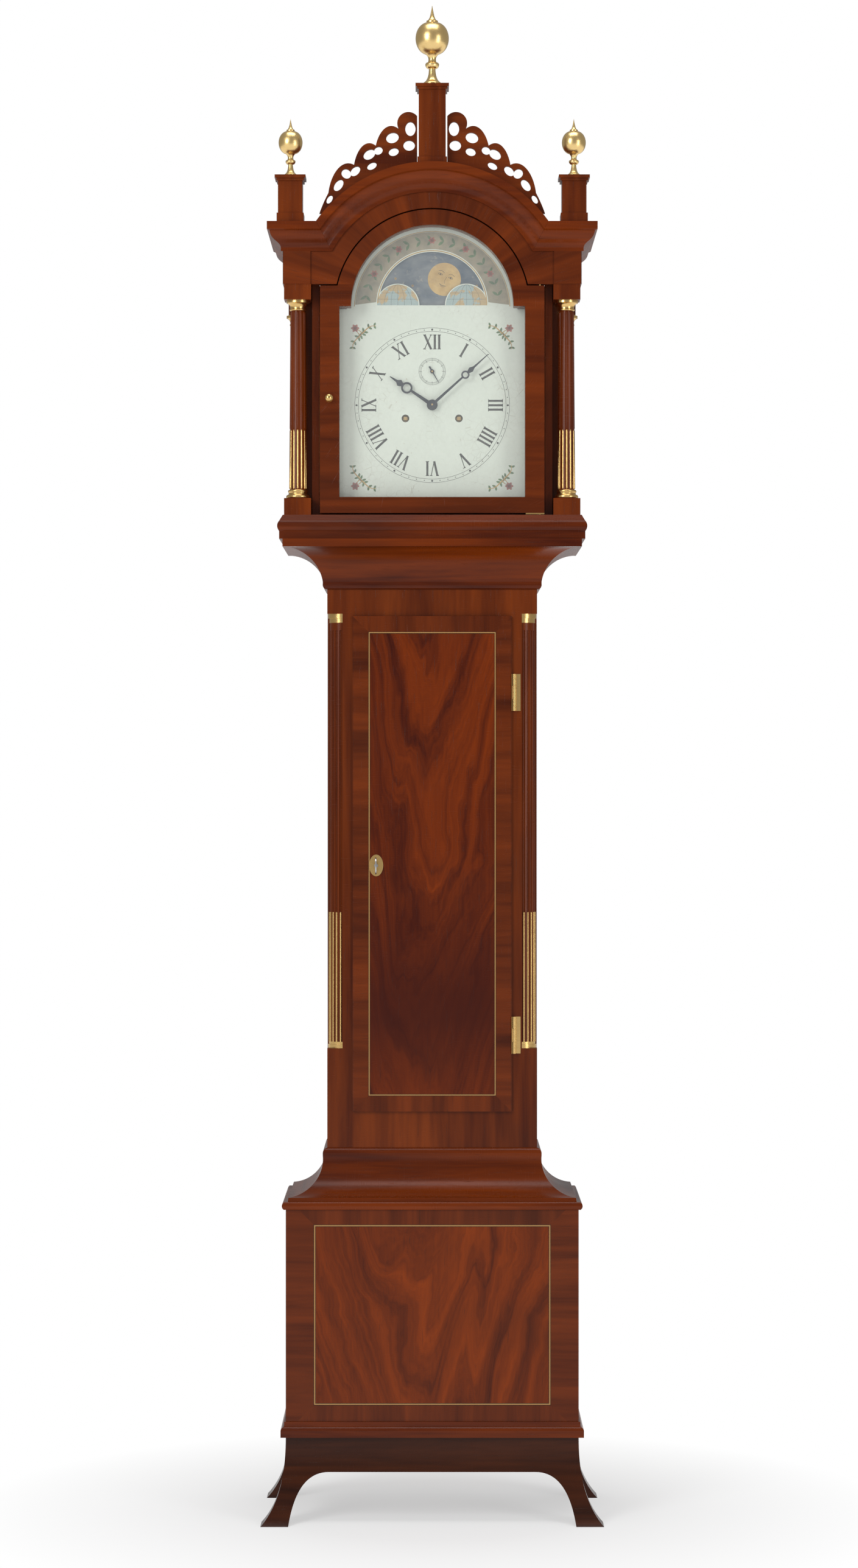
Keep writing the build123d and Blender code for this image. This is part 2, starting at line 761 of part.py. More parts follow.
level_front = front_run(level_steps, hood_half, tympanum_front, cornice_reach)
low = mitre_low + mitre_joint
high = mitre_high + mitre_joint
level_gap = closed([
    (-low, cornice_bottom - 1), (-low, cornice_bottom), (-high, cornice_top), (-high, cornice_top + 1),
    (high, cornice_top + 1), (high, cornice_top), (low, cornice_bottom), (low, cornice_bottom - 1)])
level_front -= slab(front(0), level_gap, 200)
with BuildPart() as hood_cornice:
    add(arch_molding.part)
    add(level_front)
    for side in (-1, 1):
        add(side_run(level_steps, hood_half, tympanum_front, side_end, cornice_reach, side))
save(hood_cornice, "hood_cornice")

# Roof, a thin barrel behind the arch with level shoulders
roof_radius = 208.0
roof_board = 8.0
with BuildPart() as hood_roof:
    with BuildSketch(front(side_end)):
        with Locations((0, arch_z)):
            Circle(roof_radius)
        with Locations((0, cornice_top - roof_board / 2)):
            Rectangle(2 * side_inner, roof_board)
        with Locations((0, arch_z)):
            Circle(roof_radius - roof_board, mode=Mode.SUBTRACT)
        with Locations((0, cornice_top - roof_board - 400)):
            Rectangle(1000, 800, mode=Mode.SUBTRACT)
    extrude(amount=side_end - tympanum_back)
save(hood_roof, "hood_roof")

# Mask behind the hood door, framing the dial
mask_front = -83.0
mask_back = -75.0
mask_half = 176.5
mask_arch = 166.0


def sight(plane, depth, grow=0.0):
    half = sight_half + grow
    radius = sight_radius + grow
    bottom = sight_bottom - grow
    steps = [
        ((-radius, arch_z), (-half, arch_z)),
        ((-half, arch_z), (-half, bottom)),
        ((-half, bottom), (half, bottom)),
        ((half, bottom), (half, arch_z)),
        ((half, arch_z), (radius, arch_z)),
        ((radius, arch_z), (0, arch_z + radius), (-radius, arch_z)),
    ]
    return slab(plane, steps, depth)


with BuildPart() as dial_mask:
    with BuildSketch(front(mask_back)):
        with Locations((0, (sill_top + column_top) / 2)):
            Rectangle(2 * mask_half, column_top - sill_top)
        with Locations((0, arch_z)):
            Circle(mask_arch)
    extrude(amount=mask_back - mask_front)
    add(sight(front(mask_back + 1), mask_back - mask_front + 2), mode=Mode.SUBTRACT)
save(dial_mask, "dial_mask")

# Columns, turned front ones on square blocks and half columns behind
column_x = 210.0
column_y = -89.0
block_half = 21.0
base_block = 26.0
cap_block = 24.0
turned_base = 14.0
turned_cap = 16.0
shaft_low = sill_top + base_block + turned_base
shaft_high = column_top - cap_block - turned_cap
shaft_radius = 12.5
shaft_neck = 10.5
rear_column_y = 108.0


def shaft(x, y):
    length = shaft_high - shaft_low
    steps = [
        ((0, 0), (shaft_radius, 0)),
        ((shaft_radius, 0), (shaft_radius, length / 3)),
        ((shaft_radius, length / 3), (shaft_radius - 0.6, length * 0.7), (shaft_neck, length)),
        ((shaft_neck, length), (0, length)),
        ((0, length), (0, 0)),
    ]
    return turned(steps, x, y, shaft_low)


def column_base(x, y):
    steps = [
        ((0, 0), (17, 0)),
        ((17, 0), (18.5, 3), (17, 6)),
        ((17, 6), (14.6, 8), (15, 10)),
        ((15, 10), (15.6, 12), (14, turned_base)),
        ((14, turned_base), (0, turned_base)),
        ((0, turned_base), (0, 0)),
    ]
    return turned(steps, x, y, sill_top + base_block)


def column_cap(x, y):
    steps = [
        ((0, 0), (12, 0)),
        ((12, 0), (13, 1.5), (12, 3)),
        ((12, 3), (12.4, 7), (17, 12)),
        ((17, 12), (18, 12)),
        ((18, 12), (18, turned_cap)),
        ((18, turned_cap), (0, turned_cap)),
        ((0, turned_cap), (0, 0)),
    ]
    return turned(steps, x, y, shaft_high)


def half_column(shape, side):
    # The half outside the hood's side board.
    whole = shape(side * side_outer, rear_column_y)
    with BuildPart() as half:
        add(whole)
        ends = sorted((side * (side_outer - 60), side * side_outer))
        block(*ends, rear_column_y - 60, rear_column_y + 60, sill_top, column_top, mode=Mode.SUBTRACT)
    return half.part


with BuildPart() as hood_columns:
    for side in (-1, 1):
        x = side * column_x
        add(shaft(x, column_y))
        block(x - block_half, x + block_half, column_y - block_half, column_y + block_half,
              sill_top, sill_top + base_block)
        block(x - block_half, x + block_half, column_y - block_half, column_y + block_half,
              column_top - cap_block, column_top)
        add(half_column(shaft, side))
        ends = sorted((side * side_outer, side * (hood_half - 2)))
        block(*ends, rear_column_y - 19, rear_column_y + 19, sill_top, sill_top + base_block)
        block(*ends, rear_column_y - 19, rear_column_y + 19, column_top - cap_block, column_top)
save(hood_columns, "hood_columns")

with BuildPart() as hood_column_mounts:
    for side in (-1, 1):
        for shape in (column_base, column_cap):
            add(shape(side * column_x, column_y))
            add(half_column(shape, side))
save(hood_column_mounts, "hood_column_mounts")

# Plinths on the cornice, the middle one taller
plinth_y = -104.0
side_plinth_x = 221.0
plinths = [
    (0.0, 21.0, cornice_arch + arch_z - 6, 2240.0),
    (-side_plinth_x, 19.0, cornice_top, 2098.0),
    (side_plinth_x, 19.0, cornice_top, 2098.0),
]
with BuildPart() as finial_plinths:
    for x, half, low, high in plinths:
        block(x - half, x + half, plinth_y - half, plinth_y + half, low, high - 9)
        block(x - half - 2, x + half + 2, plinth_y - half - 2, plinth_y + half + 2, low, low + 14)
        block(
            x - half - 2.5, x + half + 2.5, plinth_y - half - 2.5, plinth_y + half + 2.5,
            high - 9, high - 5)
        block(x - half - 5, x + half + 5, plinth_y - half - 5, plinth_y + half + 5, high - 5, high)
    with BuildSketch(front(0)):
        with Locations((0, arch_z)):
            Circle(cornice_arch)
    extrude(amount=200, mode=Mode.SUBTRACT)
save(finial_plinths, "finial_plinths")

# Ball and spire finials
finial_height = 126.0


def finial(x, z, scale):
    steps = [
        ((0, 0), (13, 0)),
        ((13, 0), (14, 2.5), (13, 5)),
        ((13, 5), (6, 9), (5.5, 20), (5, 26)),
        ((5, 26), (9, 28), (10.5, 31)),
        ((10.5, 31), (10.5, 34), (7, 36)),
        ((7, 36), (6, 42), (10, 49)),
        ((10, 49), (31.5, 55), (31.5, 93.2), (9, 98.4)),
        ((9, 98.4), (9, 101)),
        ((9, 101), (3, 103), (2.6, 112), (0, finial_height)),
        ((0, finial_height), (0, 0)),
    ]
    sized = [tuple((a * scale, b * scale) for a, b in step) for step in steps]
    return turned(sized, x, plinth_y, z)


with BuildPart() as finials:
    for x, half, low, high in plinths:
        add(finial(x, high, 1.0 if x == 0 else 0.72))
save(finials, "finials")

# Pierced fret between the plinths, standing on the arch
fret_front = -108.0
fret_board = 6.0
fret_inner = plinths[0][1] + 2.5
fret_steps = [
    ((fret_inner, 2095), (fret_inner, 2192)),
    ((fret_inner, 2192), (46, 2196), (52, 2172)),
    ((52, 2172), (70, 2186), (84, 2166), (88, 2146)),
    ((88, 2146), (104, 2158), (118, 2140), (122, 2116)),
    ((122, 2116), (140, 2126), (158, 2104), (162, 2072)),
    ((162, 2072), (168, 2060), (176, 2040)),
    ((176, 2040), (fret_inner, 2040)),
    ((fret_inner, 2040), (fret_inner, 2095)),
]
fret_holes = [
    (34, 2172, 8, 11, 0), (36, 2146, 9, 8, 0), (62, 2158, 10, 8, -20), (60, 2136, 8, 6, -20),
    (84, 2138, 7, 6, -30), (98, 2132, 10, 7, -35), (94, 2114, 8, 5, -30), (120, 2106, 9, 6, -45),
    (134, 2102, 7, 8, -45), (146, 2084, 10, 6, -55), (160, 2062, 7, 4, -60),
]
with BuildPart() as fret_half:
    add(slab(front(fret_front + fret_board), fret_steps, fret_board))
    with BuildSketch(front(fret_front + fret_board)):
        with Locations((0, arch_z)):
            Circle(cornice_arch)
        for x, z, wide, high, tilt in fret_holes:
            with Locations(Location((x, z), tilt)):
                Ellipse(wide, high)
    extrude(amount=fret_board, mode=Mode.SUBTRACT)
with BuildPart() as hood_fret:
    add(fret_half.part)
    mirror(about=Plane.YZ)
save(hood_fret, "hood_fret")

# Hood door: arched frame, glass, knob and pivots
door_front = -106.0
door_rear = -86.0
hood_door_half = 175.0
hood_door_bottom = sill_top + 3
hood_door_shoulder = column_top - 2
shoulder_half = sqrt(door_arch ** 2 - (hood_door_shoulder - arch_z) ** 2)
with BuildPart() as hood_door_frame:
    with BuildSketch(front(door_rear)):
        with BuildLine():
            Polyline(
                (-shoulder_half, hood_door_shoulder), (-hood_door_half, hood_door_shoulder),
                (-hood_door_half, hood_door_bottom), (hood_door_half, hood_door_bottom),
                (hood_door_half, hood_door_shoulder), (shoulder_half, hood_door_shoulder))
            ThreePointArc(
                (shoulder_half, hood_door_shoulder), (0, arch_z + door_arch),
                (-shoulder_half, hood_door_shoulder))
        make_face()
    extrude(amount=door_rear - door_front)
    add(sight(front(door_rear + 1), door_rear - door_front + 2), mode=Mode.SUBTRACT)
save(hood_door_frame, "hood_door_frame")

glass_back = -95.0
with BuildPart() as hood_door_glass:
    add(sight(front(glass_back), pane))
save(hood_door_glass, "hood_door_glass")

knob_z = 1752.0
knob_steps = [
    ((0, 0), (6, 0)),
    ((6, 0), (6, 1.5)),
    ((6, 1.5), (3, 1.5)),
    ((3, 1.5), (3, 5)),
    ((3, 5), (9, 7), (6, 14), (0, 14)),
    ((0, 14), (0, 0)),
]
with BuildPart() as hood_door_knob:
    place = (-hood_door_half + 14, door_front, knob_z)
    with BuildSketch(Plane(place, x_dir=(1, 0, 0), z_dir=(0, 0, -1))):
        with BuildLine():
            outline(knob_steps, lambda a, b: (a, b))
        make_face()
    revolve(axis=Axis(place, (0, -1, 0)))
save(hood_door_knob, "hood_door_knob")

with BuildPart() as hood_door_pivots:
    ends = (pivot_x - 22, hood_door_half)
    block(*ends, door_front, door_rear, hood_door_bottom - 2, hood_door_bottom)
    with BuildSketch(Plane.XY.offset(hood_door_bottom - 2)):
        with Locations((pivot_x, pivot_y)):
            Circle(pivot_radius)
    extrude(amount=-7)
    with BuildSketch(Plane.XY.offset(hood_door_shoulder)):
        with Locations((pivot_x, pivot_y)):
            Circle(pivot_radius)
    extrude(amount=7)
save(hood_door_pivots, "hood_door_pivots")


# Wheels of the movement
tooth_share = 0.3
leaf_share = 0.25


def gear(teeth, module, y0, y1, x, z, phase, bore=0.0, leaf=False, spokes=0):
    # Straight-sided teeth; phase is the angle of one tooth, seen from the front.
    radius = module * teeth / 2
    tip = radius + module * (0.35 if leaf else 0.5)
    root = radius - module * 0.9
    half = 2 * pi / teeth * (leaf_share if leaf else tooth_share) / 2
    points = []
    for index in range(teeth):
        middle = phase + 2 * pi * index / teeth
        for reach, turn in ((root, -half), (tip, -half * 0.5), (tip, half * 0.5), (root, half)):
            points.append((x + reach * cos(middle + turn), z + reach * sin(middle + turn)))
    with BuildPart() as wheel:
        with BuildSketch(front(y1)):
            Polygon(*points, align=None)
            if spokes:
                with Locations((x, z)):
                    Circle(root - 3.5, mode=Mode.SUBTRACT)
                    Circle(bore + 4.5)
                for index in range(spokes):
                    turn = 360 * index / spokes
                    reach = (root - 1) / 2
                    place = (x + reach * cos(radians(turn)), z + reach * sin(radians(turn)))
                    with Locations(Location(place, turn)):
                        Rectangle(root - 1, 3)
            if bore:
                with Locations((x, z)):
                    Circle(bore, mode=Mode.SUBTRACT)
        extrude(amount=y1 - y0)
    return wheel.part


def toward(a, b):
    return atan2(b[1] - a[1], b[0] - a[0])


def meshed(a, b, teeth):
    # The phase that puts a gap of the gear at b on the tooth from a.
    return toward(b, a) + pi / teeth


center_place = (0.0, dial_z)
third_place = (third_x, third_z)
escape_place = (0.0, seconds_z)
minute_place = (0.0, minute_wheel_z)
barrel_places = {"going": (barrel_x, barrel_z), "strike": (-barrel_x, barrel_z)}
pivot_end = rear_plate_back
great_front = -23.5

for train, teeth in (("going", great_teeth), ("strike", 78)):
    x, z = barrel_places[train]
    with BuildPart() as great_wheel:
        phase = toward((x, z), center_place)
        add(gear(
            teeth, wheel_module, great_front, great_front + 2, x, z, phase,
            bore=4 + running_fit, spokes=4))
    save(great_wheel, train + "_great_wheel")
    with BuildPart() as barrel:
        add(rod(barrel_radius, x, z, -13, 24))
        add(rod(barrel_radius + 4, x, z, -15, -13))
        add(rod(barrel_radius + 4, x, z, 24, 26))
        add(rod(4, x, z, -56, -13))
        add(rod(2, x, z, 26, pivot_end))
        with BuildSketch(front(-56)):
            with Locations((x, z)):
                Rectangle(5, 5)
        extrude(amount=9)
        groove_count = 12
        for index in range(groove_count):
            middle = -11 + index * 3
            ring = rod(barrel_radius + 1, x, z, middle - 0.6, middle + 0.6)
            ring -= rod(barrel_radius - 0.7, x, z, middle - 0.6, middle + 0.6)
            add(ring, mode=Mode.SUBTRACT)
    save(barrel, train + "_barrel")

with BuildPart() as center_wheel:
    add(rod(arbor_radius, 0, dial_z, dial_front - 13, pivot_end))
    pinion_phase = meshed(barrel_places["going"], center_place, pinion_leaves)
    add(gear(pinion_leaves, wheel_module, -25.5, -19.5, *center_place, pinion_phase, leaf=True))
    phase = toward(center_place, third_place)
    add(gear(60, 0.9, -17.5, -15.5, *center_place, phase, spokes=4))
save(center_wheel, "center_wheel")

with BuildPart() as third_wheel:
    add(rod(arbor_radius, third_x, third_z, plate_front, pivot_end))
    phase = meshed(center_place, third_place, pinion_leaves)
    add(gear(pinion_leaves, 0.9, -19.5, -13.5, *third_place, phase, leaf=True))
    add(gear(56, 0.8, 2, 4, *third_place, toward(third_place, escape_place), spokes=4))
save(third_wheel, "third_wheel")

# Escape wheel with thirty pointed teeth
escape_teeth = 30
escape_radius = 20.0
with BuildPart() as escape_wheel:
    add(rod(arbor_radius, 0, seconds_z, dial_front - 3, pivot_end))
    phase = meshed(third_place, escape_place, 7)
    add(gear(7, 0.8, -1, 7, *escape_place, phase, leaf=True))
    with BuildSketch(front(14)):
        points = []
        for index in range(escape_teeth):
            turn = 2 * pi * index / escape_teeth
            for reach, lag in ((16.5, 0.0), (escape_radius, 0.1), (escape_radius, 0.12), (16.5, 0.16)):
                points.append((reach * cos(turn + lag), seconds_z + reach * sin(turn + lag)))
        Polygon(*points, align=None)
        with Locations((0, seconds_z)):
            Circle(13.5, mode=Mode.SUBTRACT)
            Rectangle(28, 2.5)
            Rectangle(2.5, 28)
            Circle(4)
    extrude(amount=2)
save(escape_wheel, "escape_wheel")

# Pallets with the crutch that guides the pendulum
crutch_front = 40.0
crutch_z = dial_z - 20.0
with BuildPart() as pallet_anchor:
    add(rod(arbor_radius, 0, pallet_z, plate_front, cock_plate + 1.5))
    anchor = [
        (-20, 1812), (-21.5, 1819), (-9, 1832), (9, 1832), (21.5, 1819), (20, 1812), (16.5, 1814.5),
        (7, 1823), (-7, 1823), (-16.5, 1814.5)]
    add(slab(front(15), closed(anchor), 4))
    block(-1.5, 1.5, crutch_front, crutch_front + 2, crutch_z, pallet_z)
    block(-6, 6, crutch_front, crutch_front + 2, crutch_z - 3, crutch_z)
    for side in (-1, 1):
        ends = sorted((side * 3.5, side * 5.5))
        block(*ends, crutch_front, pendulum_y + 5, crutch_z - 3, crutch_z)
save(pallet_anchor, "pallet_anchor")

# Seconds pendulum hung on the cock's pin
pendulum_length = 994.0
bob_z = pallet_z - pendulum_length
bob_radius = 55.0
bob_half = 12.0
rod_radius = 2.5
rod_end = bob_z - bob_radius - 28
with BuildPart() as pendulum_rod:
    with BuildSketch(front(pendulum_y + 2)):
        with Locations((0, pallet_z)):
            Circle(5)
        with Locations((0, pallet_z - 5)):
            Rectangle(6, 8)
        with Locations((0, pallet_z)):
            Circle(hung_pin + running_fit, mode=Mode.SUBTRACT)
    extrude(amount=4)
    block(-4, 4, pendulum_y - 0.3, pendulum_y + 0.3, pallet_z - 50, pallet_z - 8)
    with BuildSketch(Plane.XY.offset(rod_end)):
        with Locations((0, pendulum_y)):
            Circle(rod_radius)
    extrude(amount=pallet_z - 48 - rod_end)
save(pendulum_rod, "pendulum_rod")

with BuildPart() as pendulum_bob:
    with BuildSketch(Plane.XY.offset(bob_z)):
        with BuildLine():
            Line((0, pendulum_y - bob_half), (0, pendulum_y + bob_half))
            ThreePointArc(
                (0, pendulum_y + bob_half), (bob_radius * 0.62, pendulum_y + bob_half * 0.7),
                (bob_radius, pendulum_y))
            ThreePointArc(
                (bob_radius, pendulum_y), (bob_radius * 0.62, pendulum_y - bob_half * 0.7),
                (0, pendulum_y - bob_half))
        make_face()
    revolve(axis=Axis((0, pendulum_y, bob_z), (0, 1, 0)))
    with BuildSketch(Plane.XY.offset(bob_z - bob_radius - 16)):
        with Locations((0, pendulum_y)):
            RegularPolygon(8, 6)
    extrude(amount=9)
    with BuildSketch(Plane.XY.offset(bob_z - 200)):
        with Locations((0, pendulum_y)):
            Circle(rod_radius)
    extrude(amount=400, mode=Mode.SUBTRACT)
save(pendulum_bob, "pendulum_bob")

# Motion work and hands, set to eight minutes past ten
hour_angle = radians(90 - 304)
minute_angle = radians(90 - 48)
seconds_angle = radians(90 - 150)


def hand(plane, x, z, angle, shape, thickness):
    # A flat hand; shape lists (along, across) for one edge, from the boss outwards.
    upper = [(along, across) for along, across in shape]
    lower = [(along, -across) for along, across in reversed(shape)]
    points = []
    for along, across in upper + lower:
        points.append((
            x + along * cos(angle) - across * sin(angle),
            z + along * sin(angle) + across * cos(angle)))
    with BuildPart() as blade:
        with BuildSketch(plane):
            Polygon(*points, align=None)
        extrude(amount=thickness)
    return blade.part


def eye(plane, x, z, angle, along, outer, inner, thickness):
    # A ring in a hand, its hole open.
    place = (x + along * cos(angle), z + along * sin(angle))
    with BuildPart() as ring:
        with BuildSketch(plane):
            with Locations(place):
                Circle(outer)
                Circle(inner, mode=Mode.SUBTRACT)
        extrude(amount=thickness)
    return ring.part


minute_pipe = 3.7
minute_plane = front(-75.3)
hour_plane = front(-70.3)
with BuildPart() as minute_hand:
    add(rod(minute_pipe, 0, dial_z, -77.5, -36))
    add(gear(minute_teeth, minute_module, -38, -36, *center_place, toward(center_place, minute_place)))
    add(rod(7, 0, dial_z, -76.5, -75.3))
    add(hand(minute_plane, 0, dial_z, minute_angle, [(4, 2.2), (64, 1.4)], 1.2))
    add(eye(minute_plane, 0, dial_z, minute_angle, 70, 6.5, 4, 1.2))
    add(hand(minute_plane, 0, dial_z, minute_angle, [(75.5, 2), (82, 4.2), (88, 1.6), (118, 0.5)], 1.2))
    with BuildSketch(front(-30)):
        with Locations((0, dial_z)):
            Circle(arbor_radius)
    extrude(amount=60, mode=Mode.SUBTRACT)
save(minute_hand, "minute_hand")

hour_module = 2 * minute_module * minute_teeth / (72 + 6)
with BuildPart() as hour_hand:
    add(rod(5, 0, dial_z, -71.5, -40))
    add(gear(72, hour_module, -42, -40, *center_place, toward(center_place, minute_place), spokes=4))
    add(rod(8.5, 0, dial_z, -71.5, -70.3))
    add(hand(hour_plane, 0, dial_z, hour_angle, [(6, 2.8), (40, 1.8)], 1.2))
    add(eye(hour_plane, 0, dial_z, hour_angle, 48, 9, 6, 1.2))
    add(hand(hour_plane, 0, dial_z, hour_angle, [(56, 2.4), (62, 5.5), (67, 2), (80, 0.6)], 1.2))
    with BuildSketch(front(-30)):
        with Locations((0, dial_z)):
            Circle(minute_pipe + running_fit)
    extrude(amount=60, mode=Mode.SUBTRACT)
save(hour_hand, "hour_hand")

with BuildPart() as minute_wheel:
    bore = stud_radius + running_fit
    phase = meshed(center_place, minute_place, minute_teeth)
    add(gear(minute_teeth, minute_module, -38, -36, *minute_place, phase, bore=bore))
    phase = meshed(center_place, minute_place, 6)
    add(gear(6, hour_module, -43.5, -38, *minute_place, phase, bore=bore, leaf=True))
save(minute_wheel, "minute_wheel")

seconds_plane = front(dial_front - 1.8)
with BuildPart() as seconds_hand:
    add(rod(3.2, 0, seconds_z, dial_front - 3.2, dial_front - 1.2))
    add(hand(seconds_plane, 0, seconds_z, seconds_angle, [(-9, 1.4), (0, 0.9), (20, 0.35)], 0.8))
    with BuildSketch(front(-30)):
        with Locations((0, seconds_z)):
            Circle(arbor_radius)
    extrude(amount=60, mode=Mode.SUBTRACT)
save(seconds_hand, "seconds_hand")

with BuildPart() as moon_disc:
    with BuildSketch(front(dial_back + 3.2)):
        with Locations((0, moon_z)):
            Circle(moon_radius)
            Circle(2 + running_fit, mode=Mode.SUBTRACT)
    extrude(amount=1.2)
save(moon_disc, "moon_disc")

# Weights, pulleys and lines, one set for each train
pulley_z = 470.0
weight_top = 430.0
weight_bottom = 240.0
weight_radius = 30.0
pulley_rim = 22.5
pulley_half = 4.0
pulley_pin = 2.0
for train in ("going", "strike"):
    start_x = line_starts[train]
    end_x = line_ends[train]
    pulley_x = (start_x + end_x) / 2
    with BuildPart() as weight:
        with BuildSketch(Plane.XY.offset(weight_bottom)):
            with Locations((pulley_x, line_y)):
                Circle(weight_radius)
        extrude(amount=weight_top - weight_bottom)
        fillet(weight.edges().filter_by(GeomType.CIRCLE), 4)
        with BuildSketch(Plane.XY.offset(weight_top)):
            with Locations((pulley_x, line_y)):
                Circle(7)
        extrude(amount=8)
        block(pulley_x - 7, pulley_x + 7, line_y - 7, line_y + 7, weight_top + 6, weight_top + 9)
        for cheek in (-1, 1):
            ends = sorted((line_y + cheek * 5, line_y + cheek * 7))
            block(pulley_x - 5, pulley_x + 5, *ends, weight_top + 6, pulley_z + 6)
        add(rod(pulley_pin, pulley_x, pulley_z, line_y - 7, line_y + 7))
    save(weight, train + "_weight")
    with BuildPart() as pulley:
        with BuildSketch(Plane.XY.offset(pulley_z)):
            low = line_y - pulley_half
            high = line_y + pulley_half
            bore = pulley_x + pulley_pin + running_fit
            with BuildLine():
                Polyline((bore, high), (bore, low), (pulley_x + pulley_rim, low))
                Line((pulley_x + pulley_rim, low), (pulley_x + pulley_rim, line_y - 2))
                ThreePointArc(
                    (pulley_x + pulley_rim, line_y - 2), (pulley_x + pulley_pitch - 1.1, line_y),
                    (pulley_x + pulley_rim, line_y + 2))
                Polyline((pulley_x + pulley_rim, line_y + 2), (pulley_x + pulley_rim, high), (bore, high))
            make_face()
        revolve(axis=Axis((pulley_x, 0, pulley_z), (0, 1, 0)))
    save(pulley, train + "_pulley")
    with BuildPart() as line:
        with BuildLine() as route:
            Line((start_x, line_y, barrel_z), (start_x, line_y, pulley_z))
            ThreePointArc(
                (start_x, line_y, pulley_z), (pulley_x, line_y, pulley_z - pulley_pitch),
                (end_x, line_y, pulley_z))
            Line((end_x, line_y, pulley_z), (end_x, line_y, seat_top + 4))
        with BuildSketch(Plane((start_x, line_y, barrel_z), z_dir=(0, 0, -1))):
            Circle(line_radius)
        sweep(path=route.wire())
        with Locations((end_x, line_y, seat_top + 4)):
            Sphere(3)
    save(line, train + "_line")
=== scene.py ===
import bpy
import math
import numpy as np
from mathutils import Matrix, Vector


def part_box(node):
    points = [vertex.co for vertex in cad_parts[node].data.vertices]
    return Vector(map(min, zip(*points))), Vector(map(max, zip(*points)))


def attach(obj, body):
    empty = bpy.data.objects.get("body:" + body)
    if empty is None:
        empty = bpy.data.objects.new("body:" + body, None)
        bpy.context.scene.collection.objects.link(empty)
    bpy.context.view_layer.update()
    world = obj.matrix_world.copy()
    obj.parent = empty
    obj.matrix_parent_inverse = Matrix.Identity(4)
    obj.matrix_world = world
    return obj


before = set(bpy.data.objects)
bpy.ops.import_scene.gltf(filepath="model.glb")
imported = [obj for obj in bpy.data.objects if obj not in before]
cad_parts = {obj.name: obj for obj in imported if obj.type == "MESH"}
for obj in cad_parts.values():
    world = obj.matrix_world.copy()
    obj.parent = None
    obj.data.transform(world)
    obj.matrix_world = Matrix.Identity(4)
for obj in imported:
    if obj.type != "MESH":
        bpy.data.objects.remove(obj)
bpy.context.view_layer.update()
print("frame loaded")

mm = 0.001
scene = bpy.context.scene

# Faces of the case that the finishes and new pieces are placed from
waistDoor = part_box("waist_door")
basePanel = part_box("base_front_panel")
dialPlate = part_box("dial_plate")
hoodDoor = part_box("hood_door_frame")
archCentre = Vector((0, 0, 1.896))


# Node helpers
def addNode(tree, kind, **settings):
    node = tree.nodes.new(kind)
    for name, value in settings.items():
        setattr(node, name, value)
    return node


def feed(tree, socket, value):
    # A socket as value is linked, anything else is typed in.
    if isinstance(value, bpy.types.NodeSocket):
        tree.links.new(value, socket)
    elif value is not None:
        socket.default_value = value


def calc(tree, operation, a, b=None, clamp=False):
    node = addNode(tree, "ShaderNodeMath", operation=operation, use_clamp=clamp)
    for socket, value in zip(node.inputs, (a, b)):
        feed(tree, socket, value)
    return node.outputs[0]


def ramp(tree, value, low, high, outLow=0.0, outHigh=1.0):
    node = addNode(tree, "ShaderNodeMapRange")
    for socket, item in zip(node.inputs, (value, low, high, outLow, outHigh)):
        feed(tree, socket, item)
    return node.outputs[0]


def blendColor(tree, factor, a, b):
    node = addNode(tree, "ShaderNodeMix", data_type="RGBA")
    feed(tree, node.inputs["Factor"], factor)
    feed(tree, node.inputs[6], a)
    feed(tree, node.inputs[7], b)
    return node.outputs[2]


def scaled(tree, vector, x, y, z):
    node = addNode(tree, "ShaderNodeVectorMath", operation="MULTIPLY")
    feed(tree, node.inputs[0], vector)
    node.inputs[1].default_value = (x, y, z)
    return node.outputs[0]


def noise(tree, vector, scale, detail=4.0, roughness=0.55, distortion=0.0):
    node = addNode(tree, "ShaderNodeTexNoise")
    feed(tree, node.inputs["Vector"], vector)
    feed(tree, node.inputs["Scale"], scale)
    feed(tree, node.inputs["Detail"], detail)
    feed(tree, node.inputs["Roughness"], roughness)
    feed(tree, node.inputs["Distortion"], distortion)
    return node.outputs["Fac"]


def split(tree, vector):
    node = addNode(tree, "ShaderNodeSeparateXYZ")
    feed(tree, node.inputs[0], vector)
    return node.outputs


def join(tree, x, y, z):
    node = addNode(tree, "ShaderNodeCombineXYZ")
    for socket, value in zip(node.inputs, (x, y, z)):
        feed(tree, socket, value)
    return node.outputs[0]


def makeGroup(name, inputs, outputs):
    group = bpy.data.node_groups.new(name, "ShaderNodeTree")
    sockets = group.interface
    for label, kind, value in inputs:
        socket = sockets.new_socket(name=label, in_out="INPUT", socket_type="NodeSocket" + kind)
        if value is not None:
            socket.default_value = value
    for label, kind in outputs:
        sockets.new_socket(name=label, in_out="OUTPUT", socket_type="NodeSocket" + kind)
    start = group.nodes.new("NodeGroupInput")
    end = group.nodes.new("NodeGroupOutput")
    return group, start.outputs, end.inputs


def useGroup(tree, group, **values):
    node = addNode(tree, "ShaderNodeGroup", node_tree=group)
    for name, value in values.items():
        feed(tree, node.inputs[name], value)
    return node.outputs


